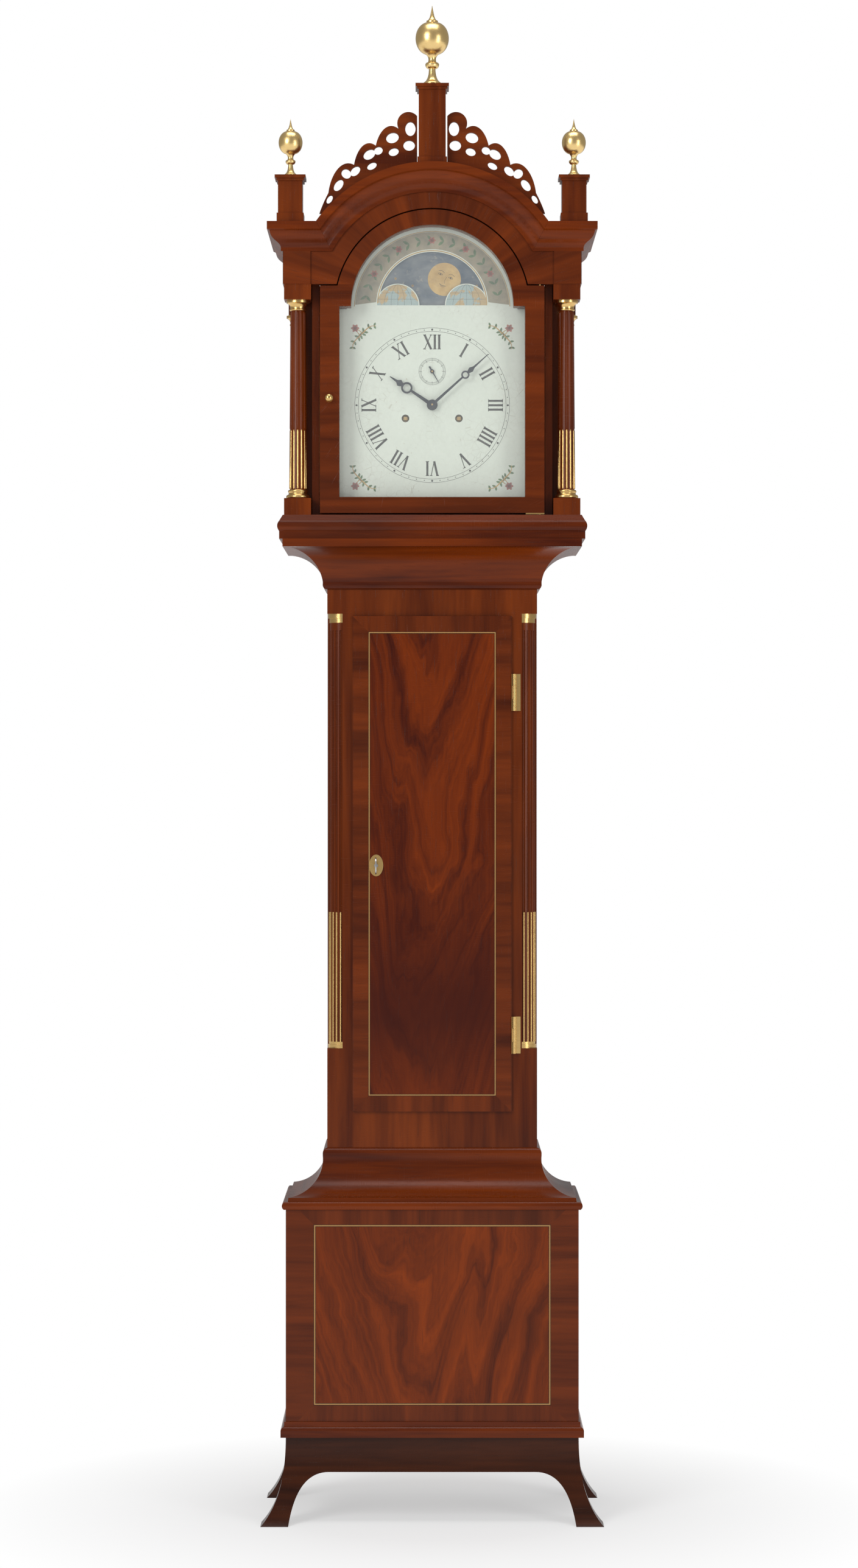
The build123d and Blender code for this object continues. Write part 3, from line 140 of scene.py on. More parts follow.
# Wood as a group: plain stripe, plume figure, fine pores and a little age
figureSettings = {
    "stripeStretch": (14, 14, 1.1), "stripeScale": 1.6, "stripeShare": 0.72, "stripeHeight": 0.35,
    "ribbonStretch": (70, 70, 4), "ribbonShare": 0.28,
    "plumeRise": 7.0, "plumeSpread": -26.0, "plumeBend": 5.0, "plumeRoot": 0.0009, "bendStretch": (5, 5, 2.2),
    "bandScale": 1.7, "bandAcross": 3.0, "bandShare": 0.82,
    "featherScale": 6.0, "featherAcross": 40.0, "featherShare": 0.18,
    "toneLow": 0.34, "toneHigh": 0.66,
    "poreStretch": (900, 900, 26), "poreStart": 0.33, "poreFull": 0.24, "poreShare": 0.55,
    "poreColor": (0.035, 0.010, 0.004, 1),
    "ageScale": 3.1, "ageStart": 0.55, "ageFull": 0.8, "ageShare": 0.45, "ageColor": (0.03, 0.008, 0.003, 1),
    "polishLow": 0.20, "polishHigh": 0.36, "scratchStretch": (30, 30, 210), "scratchRough": 0.07,
}


def woodGroup():
    s = figureSettings
    t, given, made = makeGroup(
        "woodFigure",
        [("Place", "Vector", None), ("Light", "Color", (0.5, 0.2, 0.08, 1)),
         ("Dark", "Color", (0.1, 0.03, 0.01, 1)), ("Plume", "Float", 0.0), ("Seed", "Float", 0.0)],
        [("Color", "Color"), ("Roughness", "Float"), ("Height", "Float")])
    shifted = addNode(t, "ShaderNodeVectorMath", operation="ADD")
    feed(t, shifted.inputs[0], given["Place"])
    feed(t, shifted.inputs[1], join(t, given["Seed"], given["Seed"], given["Seed"]))
    place = shifted.outputs[0]
    x, y, z = split(t, given["Place"])
    # broad growth stripes that run with the grain
    stripes = noise(t, scaled(t, place, *s["stripeStretch"]), s["stripeScale"], 5, 0.6, 0.5)
    ribbon = noise(t, scaled(t, place, *s["ribbonStretch"]), 1.0, 3, 0.6, 0.3)
    # plumes: bands of height plus a root of the distance from the middle, bent by noise
    spread = calc(t, "SQRT", calc(t, "ADD", calc(t, "MULTIPLY", x, x), s["plumeRoot"]))
    bend = noise(t, scaled(t, place, *s["bendStretch"]), 1.0, 4, 0.5, 0.8)
    rising = calc(t, "MULTIPLY", z, s["plumeRise"])
    flame = calc(t, "ADD", rising, calc(t, "MULTIPLY", spread, s["plumeSpread"]))
    flame = calc(t, "ADD", flame, calc(t, "MULTIPLY", bend, s["plumeBend"]))
    bandPlace = join(t, flame, calc(t, "MULTIPLY", x, s["bandAcross"]), given["Seed"])
    bands = noise(t, bandPlace, s["bandScale"], 5, 0.62, 0.2)
    featherPlace = join(t, flame, calc(t, "MULTIPLY", x, s["featherAcross"]), 0.0)
    feather = noise(t, featherPlace, s["featherScale"], 3, 0.6, 0.1)
    bands = calc(t, "MULTIPLY", bands, s["bandShare"])
    bands = calc(t, "ADD", bands, calc(t, "MULTIPLY", feather, s["featherShare"]))
    broad = calc(t, "MULTIPLY", stripes, s["stripeShare"])
    tone = addNode(t, "ShaderNodeMix")
    feed(t, tone.inputs["Factor"], given["Plume"])
    feed(t, tone.inputs[2], calc(t, "ADD", broad, calc(t, "MULTIPLY", ribbon, s["ribbonShare"])))
    feed(t, tone.inputs[3], bands)
    tone = ramp(t, tone.outputs[0], s["toneLow"], s["toneHigh"])
    color = blendColor(t, tone, given["Dark"], given["Light"])
    # open pores, short and thin
    pores = noise(t, scaled(t, place, *s["poreStretch"]), 1.0, 2, 0.5)
    pores = ramp(t, pores, s["poreStart"], s["poreFull"])
    color = blendColor(t, calc(t, "MULTIPLY", pores, s["poreShare"]), color, s["poreColor"])
    # old polish is darker and duller in clouds
    age = noise(t, place, s["ageScale"], 3, 0.6)
    color = blendColor(t, ramp(t, age, s["ageStart"], s["ageFull"], 0.0, s["ageShare"]), color, s["ageColor"])
    scratches = ramp(t, noise(t, scaled(t, place, *s["scratchStretch"]), 2.0, 2, 0.5), 0.6, 0.7)
    rough = ramp(t, age, 0.3, 0.8, s["polishLow"], s["polishHigh"])
    feed(t, made["Color"], color)
    feed(t, made["Roughness"], calc(t, "ADD", rough, calc(t, "MULTIPLY", scratches, s["scratchRough"])))
    height = calc(t, "MULTIPLY", pores, -1.0)
    feed(t, made["Height"], calc(t, "ADD", height, calc(t, "MULTIPLY", stripes, s["stripeHeight"])))
    return t


# Masks of a rectangular panel with a banded border and thin stringing
darkLineShare = 1.9  # reach of the dark lines as a share of the light line's


def panelGroup():
    t, given, made = makeGroup(
        "panelBorder",
        [("X", "Float", 0.0), ("Z", "Float", 0.0), ("Half", "Float", 0.1), ("Low", "Float", 0.0),
         ("High", "Float", 1.0), ("Width", "Float", 0.02), ("String", "Float", 0.001)],
        [("Border", "Float"), ("Upright", "Float"), ("String", "Float"), ("Edge", "Float")])
    side = calc(t, "SUBTRACT", given["Half"], calc(t, "ABSOLUTE", given["X"]))
    above = calc(t, "SUBTRACT", given["Z"], given["Low"])
    ends = calc(t, "MINIMUM", above, calc(t, "SUBTRACT", given["High"], given["Z"]))
    inset = calc(t, "MINIMUM", side, ends)
    feed(t, made["Border"], calc(t, "LESS_THAN", inset, given["Width"]))
    feed(t, made["Upright"], calc(t, "LESS_THAN", side, ends))
    gap = calc(t, "ABSOLUTE", calc(t, "SUBTRACT", inset, given["Width"]))
    feed(t, made["String"], calc(t, "LESS_THAN", gap, given["String"]))
    feed(t, made["Edge"], calc(t, "LESS_THAN", gap, calc(t, "MULTIPLY", given["String"], darkLineShare)))
    return t


# Metal as a group: cloudy tarnish, small tarnish specks and fine turning marks
wearSettings = {
    "cloudScale": 22, "speckScale": 340, "markStretch": (260, 260, 1400), "speckShare": 0.35,
    "dullRough": 0.28, "markRough": 0.07, "speckHeight": 0.4, "markHeight": 0.3,
}


def metalGroup():
    s = wearSettings
    t, given, made = makeGroup(
        "oldMetal",
        [("Place", "Vector", None), ("Bright", "Color", (0.8, 0.6, 0.3, 1)),
         ("Dull", "Color", (0.3, 0.2, 0.1, 1)), ("Tarnish", "Float", 0.4), ("Polish", "Float", 0.2)],
        [("Color", "Color"), ("Roughness", "Float"), ("Height", "Float")])
    place = given["Place"]
    clouds = noise(t, place, s["cloudScale"], 5, 0.65, 0.4)
    specks = noise(t, place, s["speckScale"], 3, 0.6)
    marks = noise(t, scaled(t, place, *s["markStretch"]), 1.0, 2, 0.5)
    amount = calc(t, "MULTIPLY", ramp(t, clouds, 0.42, 0.72), given["Tarnish"])
    dots = calc(t, "MULTIPLY", ramp(t, specks, 0.62, 0.74), s["speckShare"])
    amount = calc(t, "ADD", amount, dots, clamp=True)
    feed(t, made["Color"], blendColor(t, amount, given["Bright"], given["Dull"]))
    rough = calc(t, "ADD", given["Polish"], calc(t, "MULTIPLY", amount, s["dullRough"]))
    feed(t, made["Roughness"], calc(t, "ADD", rough, calc(t, "MULTIPLY", marks, s["markRough"])))
    height = calc(t, "MULTIPLY", specks, s["speckHeight"])
    feed(t, made["Height"], calc(t, "ADD", height, calc(t, "MULTIPLY", marks, s["markHeight"])))
    return t


figured = woodGroup()
bordered = panelGroup()
aged = metalGroup()


def newMaterial(name):
    material = bpy.data.materials.new(name)
    material.use_nodes = True
    tree = material.node_tree
    tree.nodes.clear()
    shader = tree.nodes.new("ShaderNodeBsdfPrincipled")
    output = tree.nodes.new("ShaderNodeOutputMaterial")
    tree.links.new(shader.outputs[0], output.inputs[0])
    place = tree.nodes.new("ShaderNodeTexCoord").outputs["Object"]
    return material, tree, shader, place


def addBump(tree, shader, height, distance, strength=0.6):
    bump = addNode(tree, "ShaderNodeBump")
    bump.inputs["Strength"].default_value = strength
    bump.inputs["Distance"].default_value = distance
    feed(tree, bump.inputs["Height"], height)
    feed(tree, shader.inputs["Normal"], bump.outputs[0])


def grained(tree, place, grain):
    # Turns the place so that its third number runs with the grain.
    x, y, z = split(tree, place)
    if grain == "round":
        # along the front, and from front to back on the sides, so mitres show
        normal = addNode(tree, "ShaderNodeTexCoord").outputs["Normal"]
        nx, ny, nz = split(tree, normal)
        side = calc(tree, "GREATER_THAN", calc(tree, "ABSOLUTE", nx), calc(tree, "ABSOLUTE", ny))
        mix = addNode(tree, "ShaderNodeMix", data_type="VECTOR")
        feed(tree, mix.inputs["Factor"], side)
        feed(tree, mix.inputs[4], join(tree, z, y, x))
        feed(tree, mix.inputs[5], join(tree, x, z, y))
        return mix.outputs[1]
    order = {"X": (z, y, x), "Y": (x, z, y), "Z": (x, y, z)}[grain]
    return join(tree, *order)


woodSettings = {
    "mahogany": {"light": (0.190, 0.034, 0.003, 1), "dark": (0.060, 0.008, 0.001, 1), "coat": 0.07},
    "plume": {"light": (0.195, 0.028, 0.001, 1), "dark": (0.042, 0.004, 0.001, 1), "coat": 0.08},
    "band": {"light": (0.165, 0.028, 0.003, 1), "dark": (0.055, 0.008, 0.001, 1), "coat": 0.08},
    "moulded": {"light": (0.190, 0.030, 0.001, 1), "dark": (0.050, 0.006, 0.001, 1), "coat": 0.07},
    "footWood": {"light": (0.070, 0.016, 0.004, 1), "dark": (0.016, 0.004, 0.002, 1), "coat": 0.08},
    "baseWood": {"light": (0.225, 0.034, 0.001, 1), "dark": (0.060, 0.008, 0.001, 1), "coat": 0.08},
    "pine": {"light": (0.42, 0.25, 0.11, 1), "dark": (0.22, 0.11, 0.045, 1), "coat": 0.0},
    "holly": (0.40, 0.22, 0.08, 1),
    "ebony": (0.012, 0.007, 0.004, 1),
}


polishSettings = {"coatRough": 0.18, "specular": 0.15, "relief": 0.0002}


def polished(tree, shader, color, rough, height, coat):
    # the colour, roughness, relief and thin polish that all wood shares
    feed(tree, shader.inputs["Base Color"], color)
    feed(tree, shader.inputs["Roughness"], rough)
    addBump(tree, shader, height, polishSettings["relief"])
    shader.inputs["Coat Weight"].default_value = coat
    shader.inputs["Coat Roughness"].default_value = polishSettings["coatRough"]
    shader.inputs["Specular IOR Level"].default_value = polishSettings["specular"]


def woodLook(tree, place, look, plume, seed):
    light, dark = look["light"], look["dark"]
    return useGroup(tree, figured, Place=place, Light=light, Dark=dark, Plume=plume, Seed=seed)


def plainWood(name, tone, grain, plume=0.0, seed=0.0):
    material, tree, shader, place = newMaterial(name)
    look = woodSettings[tone]
    made = woodLook(tree, grained(tree, place, grain), look, plume, seed)
    polished(tree, shader, made["Color"], made["Roughness"], made["Height"], look["coat"])
    return material


panelSettings = {"plume": 0.85, "acrossSeed": 3, "alongSeed": 5, "shadeCore": 0.02, "lineDepth": -0.8}


def inlaidPanel(name, tone, half, low, high, width, line, seed, shade=(0.0, 0.0, 0.0)):
    # A veneered panel: plume figure inside, crossbanding outside, a light line between two dark ones.
    material, tree, shader, place = newMaterial(name)
    x, y, z = split(tree, place)
    masks = useGroup(tree, bordered, X=x, Z=z, Half=half, Low=low, High=high, Width=width, String=line)
    middle = (low + high) / 2
    local = join(tree, x, y, calc(tree, "SUBTRACT", z, middle))
    s, look, band = panelSettings, woodSettings[tone], woodSettings["band"]
    field = woodLook(tree, local, look, s["plume"], seed)
    across = woodLook(tree, grained(tree, place, "X"), band, 0.0, seed + s["acrossSeed"])
    along = woodLook(tree, grained(tree, place, "Z"), band, 0.0, seed + s["alongSeed"])
    # shade: a darker stretch of the figure, given by its middle height, its reach and its strength
    shadeZ, reach, strength = shade
    away = calc(tree, "ABSOLUTE", calc(tree, "SUBTRACT", z, shadeZ))
    dusk = ramp(tree, away, s["shadeCore"], s["shadeCore"] + reach, strength, 0.0)
    fieldColor = blendColor(tree, dusk, field["Color"], look["dark"])
    border = blendColor(tree, masks["Upright"], along["Color"], across["Color"])
    color = blendColor(tree, masks["Border"], fieldColor, border)
    color = blendColor(tree, masks["Edge"], color, woodSettings["ebony"])
    color = blendColor(tree, masks["String"], color, woodSettings["holly"])
    height = calc(tree, "ADD", field["Height"], calc(tree, "MULTIPLY", masks["Edge"], s["lineDepth"]))
    polished(tree, shader, color, field["Roughness"], height, look["coat"])
    return material


bandSettings = {"around": 0.2, "levelSeed": 2}


def archedBand(name, centre, low, seed):
    # Crossbanding that turns with the arch: the grain points away from the arch's centre.
    material, tree, shader, place = newMaterial(name)
    x, y, z = split(tree, place)
    rise = calc(tree, "SUBTRACT", z, centre.z)
    angle = calc(tree, "ARCTAN2", x, rise)
    square = calc(tree, "ADD", calc(tree, "MULTIPLY", x, x), calc(tree, "MULTIPLY", rise, rise))
    reach = calc(tree, "SQRT", square)
    around = calc(tree, "MULTIPLY", angle, bandSettings["around"])
    look = woodSettings["band"]
    made = woodLook(tree, join(tree, around, y, reach), look, 0.0, seed)
    level = woodLook(tree, grained(tree, place, "X"), look, 0.0, seed + bandSettings["levelSeed"])
    above = calc(tree, "GREATER_THAN", z, low)
    color = blendColor(tree, above, level["Color"], made["Color"])
    polished(tree, shader, color, made["Roughness"], made["Height"], look["coat"])
    return material


metalSettings = {
    "brass": {
        "bright": (0.78, 0.52, 0.20, 1), "dull": (0.34, 0.19, 0.07, 1), "tarnish": 0.35, "polish": 0.17},
    "gilt": {
        "bright": (0.86, 0.62, 0.27, 1), "dull": (0.48, 0.30, 0.11, 1), "tarnish": 0.25, "polish": 0.24},
    "workBrass": {
        "bright": (0.70, 0.48, 0.20, 1), "dull": (0.30, 0.18, 0.08, 1), "tarnish": 0.6, "polish": 0.30},
    "steel": {
        "bright": (0.50, 0.50, 0.50, 1), "dull": (0.20, 0.17, 0.14, 1), "tarnish": 0.5, "polish": 0.28},
    "blued": {
        "bright": (0.020, 0.026, 0.055, 1), "dull": (0.012, 0.011, 0.014, 1), "tarnish": 0.5, "polish": 0.28},
    "iron": {
        "bright": (0.075, 0.066, 0.058, 1), "dull": (0.110, 0.048, 0.024, 1), "tarnish": 0.5, "polish": 0.55},
}


def metal(name, tone, metallic=1.0):
    material, tree, shader, place = newMaterial(name)
    look = metalSettings[tone]
    made = useGroup(
        tree, aged, Place=place, Bright=look["bright"], Dull=look["dull"],
        Tarnish=look["tarnish"], Polish=look["polish"])
    feed(tree, shader.inputs["Base Color"], made["Color"])
    feed(tree, shader.inputs["Roughness"], made["Roughness"])
    shader.inputs["Metallic"].default_value = metallic
    addBump(tree, shader, made["Height"], 0.00008, 0.5)
    return material


glassSettings = {
    "rippleStretch": (14, 14, 6), "dustScale": 60,
    "clean": (0.93, 0.97, 0.95, 1), "dusty": (0.80, 0.82, 0.78, 1),
}


def glassMaterial(name):
    # Old window glass, nearly clear, with slow ripples and faint dust.
    material, tree, shader, place = newMaterial(name)
    ripple = noise(tree, scaled(tree, place, *glassSettings["rippleStretch"]), 1.0, 2, 0.5)
    dust = noise(tree, place, glassSettings["dustScale"], 4, 0.7)
    color = blendColor(tree, ramp(tree, dust, 0.5, 0.8), glassSettings["clean"], glassSettings["dusty"])
    feed(tree, shader.inputs["Base Color"], color)
    feed(tree, shader.inputs["Roughness"], ramp(tree, dust, 0.45, 0.8, 0.02, 0.08))
    feed(tree, shader.inputs["Alpha"], ramp(tree, dust, 0.45, 0.85, 0.07, 0.12))
    shader.inputs["IOR"].default_value = 1.5
    addBump(tree, shader, ripple, 0.0006, 0.4)
    material.surface_render_method = "BLENDED"
    return material


dialPaintSettings = {
    "crackScale": 95.0, "crackWidth": 0.018, "crackShare": 0.55, "crackColor": (0.30, 0.25, 0.17, 1),
    "cloudDark": (0.62, 0.68, 0.59, 1), "cloudLight": (0.70, 0.75, 0.66, 1),
    "speckScale": 260, "speckShare": 0.5, "speckColor": (0.33, 0.24, 0.13, 1),
}


def dialPaint(name):
    # Cream-white paint on iron, with hairline cracks in places and small rust specks
    s = dialPaintSettings
    material, tree, shader, place = newMaterial(name)
    cracks = addNode(tree, "ShaderNodeTexVoronoi", feature="DISTANCE_TO_EDGE")
    feed(tree, cracks.inputs["Vector"], place)
    cracks.inputs["Scale"].default_value = s["crackScale"]
    line = ramp(tree, cracks.outputs["Distance"], s["crackWidth"], 0.0)
    broken = calc(tree, "MULTIPLY", line, ramp(tree, noise(tree, place, 12, 3), 0.48, 0.62))
    clouds = noise(tree, place, 9, 4, 0.6)
    color = blendColor(tree, clouds, s["cloudDark"], s["cloudLight"])
    color = blendColor(tree, calc(tree, "MULTIPLY", broken, s["crackShare"]), color, s["crackColor"])
    specks = ramp(tree, noise(tree, place, s["speckScale"], 2), 0.70, 0.78)
    color = blendColor(tree, calc(tree, "MULTIPLY", specks, s["speckShare"]), color, s["speckColor"])
    feed(tree, shader.inputs["Base Color"], color)
    feed(tree, shader.inputs["Roughness"], ramp(tree, clouds, 0.3, 0.7, 0.34, 0.46))
    addBump(tree, shader, calc(tree, "MULTIPLY", broken, -1.0), 0.0002, 0.5)
    return material


skySettings = {
    "cloudStretch": (12, 12, 26), "dark": (0.045, 0.075, 0.115, 1), "pale": (0.20, 0.22, 0.23, 1),
    "wornScale": 130, "wornShare": 0.4, "wornColor": (0.42, 0.38, 0.30, 1),
}


def moonSky(name):
    # Clouded blue-grey sky on the moon's disc, worn in small spots
    s = skySettings
    material, tree, shader, place = newMaterial(name)
    clouds = noise(tree, scaled(tree, place, *s["cloudStretch"]), 1.0, 5, 0.6, 0.6)
    color = blendColor(tree, ramp(tree, clouds, 0.4, 0.68), s["dark"], s["pale"])
    worn = ramp(tree, noise(tree, place, s["wornScale"], 3), 0.62, 0.74)
    color = blendColor(tree, calc(tree, "MULTIPLY", worn, s["wornShare"]), color, s["wornColor"])
    feed(tree, shader.inputs["Base Color"], color)
    feed(tree, shader.inputs["Roughness"], ramp(tree, clouds, 0.3, 0.7, 0.38, 0.5))
    addBump(tree, shader, worn, 0.0001, 0.4)
    return material


gutSettings = {
    "alongTurn": 2600.0, "acrossTurn": 1500.0, "dark": (0.42, 0.27, 0.11, 1), "light": (0.60, 0.44, 0.22, 1),
}


def gutLine(name):
    # Twisted gut: slanting bands along the line.
    material, tree, shader, place = newMaterial(name)
    x, y, z = split(tree, place)
    along = calc(tree, "MULTIPLY", z, gutSettings["alongTurn"])
    across = calc(tree, "MULTIPLY", x, gutSettings["acrossTurn"])
    twist = calc(tree, "SINE", calc(tree, "ADD", along, across))
    tone = noise(tree, place, 40, 3)
    feed(tree, shader.inputs["Base Color"], blendColor(tree, tone, gutSettings["dark"], gutSettings["light"]))
    feed(tree, shader.inputs["Roughness"], ramp(tree, tone, 0.3, 0.7, 0.42, 0.6))
    addBump(tree, shader, twist, 0.0002, 0.5)
    return material


finishes = {
    "mahoganyUpright": plainWood("mahoganyUpright", "mahogany", "Z", seed=1.3),
    "mahoganyLevel": plainWood("mahoganyLevel", "mahogany", "X", seed=4.1),
    "mahoganySide": plainWood("mahoganySide", "mahogany", "Z", plume=0.25, seed=7.7),
    "moulded": plainWood("mouldedMahogany", "moulded", "X", seed=2.2),
    "mitred": plainWood("mitredMahogany", "moulded", "round", seed=5.4),
    "footWood": plainWood("footMahogany", "footWood", "round", seed=6.6),
    "pine": plainWood("oldPine", "pine", "Z", seed=9.4),
    "brass": metal("polishedBrass", "brass"),
    "gilt": metal("giltBrass", "gilt"),
    "workBrass": metal("movementBrass", "workBrass"),
    "steel": metal("wornSteel", "steel"),
    "blued": metal("bluedSteel", "blued"),
    "iron": metal("castIron", "iron", metallic=0.6),
    "glass": glassMaterial("oldGlass"),
    "dial": dialPaint("dialPaint"),
    "moonSky": moonSky("moonSky"),
    "gut": gutLine("gutLine"),
}
finishes["waistDoor"] = inlaidPanel(
    "waistDoorVeneer", "plume", half=waistDoor[1].x, low=waistDoor[0].z, high=waistDoor[1].z,
    width=0.026, line=0.0008, seed=0.7, shade=(0.80, 0.16, 0.8))
finishes["basePanel"] = inlaidPanel(
    "basePanelVeneer", "baseWood", half=basePanel[1].x, low=basePanel[0].z + 0.006,
    high=basePanel[1].z + 0.020, width=0.045, line=0.0009, seed=5.2)
finishes["archBand"] = archedBand("archBand", archCentre, low=1.930, seed=3.3)
print("finishes made")

nodeFinish = {
    "backboard": "pine", "seat_board": "pine",
    "base_front_panel": "basePanel", "base_sides": "mahoganySide", "waist_sides": "mahoganySide",
    "waist_front_frame": "mahoganyUpright", "waist_door": "waistDoor", "hood_sides": "mahoganySide",
    "hood_tympanum": "archBand", "hood_door_frame": "archBand", "dial_mask": "mahoganyUpright",
    "hood_roof": "mahoganyLevel", "hood_fret": "mahoganyLevel", "finial_plinths": "mahoganyUpright",
    "quarter_columns": "mahoganyUpright", "hood_columns": "mahoganyUpright",
    "hood_cornice": "moulded", "hood_sill": "mitred", "throat_molding": "mitred",
    "lower_cove_molding": "mitred", "base_molding": "mitred", "bracket_feet": "footWood",
    "finials": "gilt", "hood_column_mounts": "brass", "quarter_column_mounts": "brass",
    "escutcheon": "brass", "waist_door_hinges": "brass", "waist_hinge_leaves": "brass",
    "hood_door_knob": "brass", "hood_door_pivots": "brass", "waist_key": "steel", "lock_bolt": "steel",
    "dial_plate": "dial", "moon_disc": "moonSky", "hood_door_glass": "glass", "hood_side_glass": "glass",
    "minute_hand": "blued", "hour_hand": "blued", "seconds_hand": "blued",
    "bell": "steel", "bell_hammer": "steel", "pallet_anchor": "steel", "pendulum_rod": "steel",
    "pendulum_bob": "brass", "going_weight": "iron", "strike_weight": "iron",
    "going_line": "gut", "strike_line": "gut",
}
for nodeName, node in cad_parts.items():
    node.data.materials.clear()
    node.data.materials.append(finishes[nodeFinish.get(nodeName, "workBrass")])


# New pieces
def addMesh(name, points, quads, finish, body):
    # points is an array of places in metres, quads an array of four corner numbers
    points = np.asarray(points, dtype=np.float64)
    mesh = bpy.data.meshes.new(name)
    mesh.from_pydata(points.tolist(), [], [tuple(q) for q in quads])
    mesh.materials.append(finishes[finish])
    mesh.update()
    item = bpy.data.objects.new(name, mesh)
    scene.collection.objects.link(item)
    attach(item, body)
    return item


def gridQuads(rows, columns, start=0):
    r, c = np.meshgrid(np.arange(rows - 1), np.arange(columns - 1), indexing="ij")
    first = (r * columns + c).ravel() + start
    return np.stack([first, first + 1, first + columns + 1, first + columns], axis=1)


class Painting:
    # Thin paint on an upright plane that faces the front; shapes are grids of (x, z) in millimetres.
    def __init__(self, y):
        self.y = y
        self.points = []
        self.quads = []
        self.count = 0

    def grid(self, x, z):
        rows, columns = x.shape
        flat = np.stack([x.ravel(), np.full(x.size, self.y), z.ravel()], axis=1) * mm
        quads = gridQuads(rows, columns, self.count)
        a, b, c = (flat[quads[0][i] - self.count] for i in (0, 1, 2))
        # the faces look towards -y
        if np.cross(b - a, c - b)[1] > 0:
            quads = quads[:, ::-1]
        self.points.append(flat)
        self.quads.append(quads)
        self.count += len(flat)

    def stroke(self, start, end, width):
        start, end = np.array(start, float), np.array(end, float)
        along = (end - start) / np.linalg.norm(end - start)
        across = np.array([-along[1], along[0]]) / 2 * width
        corners = np.array([[start - across, start + across], [end - across, end + across]])
        self.grid(corners[..., 0], corners[..., 1])

    def ring(self, centre, inner, outer, low=0.0, high=360.0, steps=96):
        # circles between two radii: x = centre + radius cos(angle), z = centre + radius sin(angle)
        turns = np.radians(np.linspace(low, high, steps + 1))
        angle, radius = np.meshgrid(turns, [inner, outer], indexing="ij")
        self.grid(centre[0] + radius * np.cos(angle), centre[1] + radius * np.sin(angle))

    def leaf(self, base, angle, length, width, bend=0.0):
        # half width goes as sin(pi t) to the 0.8, and the middle line bends as t squared
        t, side = np.meshgrid(np.linspace(0, 1, 13), [-1.0, 1.0], indexing="ij")
        along = t * length
        across = side * width / 2 * np.sin(np.pi * t) ** 0.8 + bend * t ** 2
        self.grid(
            base[0] + along * np.cos(angle) - across * np.sin(angle),
            base[1] + along * np.sin(angle) + across * np.cos(angle))

    def curve(self, x, z, width):
        # a line of changing width along the curve (x, z)
        dx, dz = np.gradient(x), np.gradient(z)
        length = np.sqrt(dx ** 2 + dz ** 2)
        nx, nz = -dz / length, dx / length
        sideX, sideZ = nx * width / 2, nz * width / 2
        self.grid(np.stack([x - sideX, x + sideX], 1), np.stack([z - sideZ, z + sideZ], 1))

    def finish(self, name, finish, body):
        return addMesh(name, np.concatenate(self.points), np.concatenate(self.quads), finish, body)


paintSettings = {
    "toneScale": 55, "brushStretch": (900, 900, 160), "lossScale": 420, "lossShare": 0.7,
    "lossColor": (0.55, 0.56, 0.48, 1),
}


def paintMaterial(name, light, dark, shine=0.4):
    # Brushed paint: two close tones, small losses and slight brush marks
    material, tree, shader, place = newMaterial(name)
    s = paintSettings
    tone = noise(tree, place, s["toneScale"], 4, 0.6)
    marks = noise(tree, scaled(tree, place, *s["brushStretch"]), 1.0, 2)
    lost = ramp(tree, noise(tree, place, s["lossScale"], 3), 0.70, 0.76)
    color = blendColor(tree, ramp(tree, tone, 0.35, 0.65), dark, light)
    color = blendColor(tree, calc(tree, "MULTIPLY", lost, s["lossShare"]), color, s["lossColor"])
    feed(tree, shader.inputs["Base Color"], color)
    feed(tree, shader.inputs["Roughness"], ramp(tree, marks, 0.3, 0.7, shine, shine + 0.15))
    addBump(tree, shader, marks, 0.00006, 0.4)
    return material


globeSettings = {
    "landScale": 32, "sea": (0.34, 0.45, 0.44, 1), "land": (0.50, 0.36, 0.17, 1),
    "dirtScale": 260, "dirtShare": 0.25, "dirt": (0.20, 0.17, 0.11, 1),
}


def globeMaterial(name):
    # Two painted half globes: pale sea with tan land
    s = globeSettings
    material, tree, shader, place = newMaterial(name)
    land = ramp(tree, noise(tree, place, s["landScale"], 4, 0.6, 0.4), 0.50, 0.53)
    grainy = noise(tree, place, s["dirtScale"], 3)
    color = blendColor(tree, land, s["sea"], s["land"])
    color = blendColor(tree, calc(tree, "MULTIPLY", grainy, s["dirtShare"]), color, s["dirt"])
    feed(tree, shader.inputs["Base Color"], color)
    feed(tree, shader.inputs["Roughness"], ramp(tree, grainy, 0.3, 0.7, 0.4, 0.52))
    addBump(tree, shader, land, 0.00005, 0.4)
    return material


finishes.update({
    "ink": paintMaterial("dialInk", (0.030, 0.028, 0.026, 1), (0.014, 0.013, 0.013, 1)),
    "goldPaint": paintMaterial("goldPaint", (0.56, 0.36, 0.10, 1), (0.34, 0.19, 0.05, 1), shine=0.28),
    "leafPaint": paintMaterial("leafPaint", (0.10, 0.19, 0.07, 1), (0.05, 0.10, 0.04, 1)),
    "rosePaint": paintMaterial("rosePaint", (0.40, 0.12, 0.08, 1), (0.26, 0.05, 0.04, 1)),
    "moonPaint": paintMaterial("moonPaint", (0.60, 0.40, 0.14, 1), (0.42, 0.26, 0.08, 1)),
    "archPaint": paintMaterial("archPaint", (0.34, 0.29, 0.19, 1), (0.22, 0.20, 0.14, 1)),
    "globe": globeMaterial("globePaint"),
})

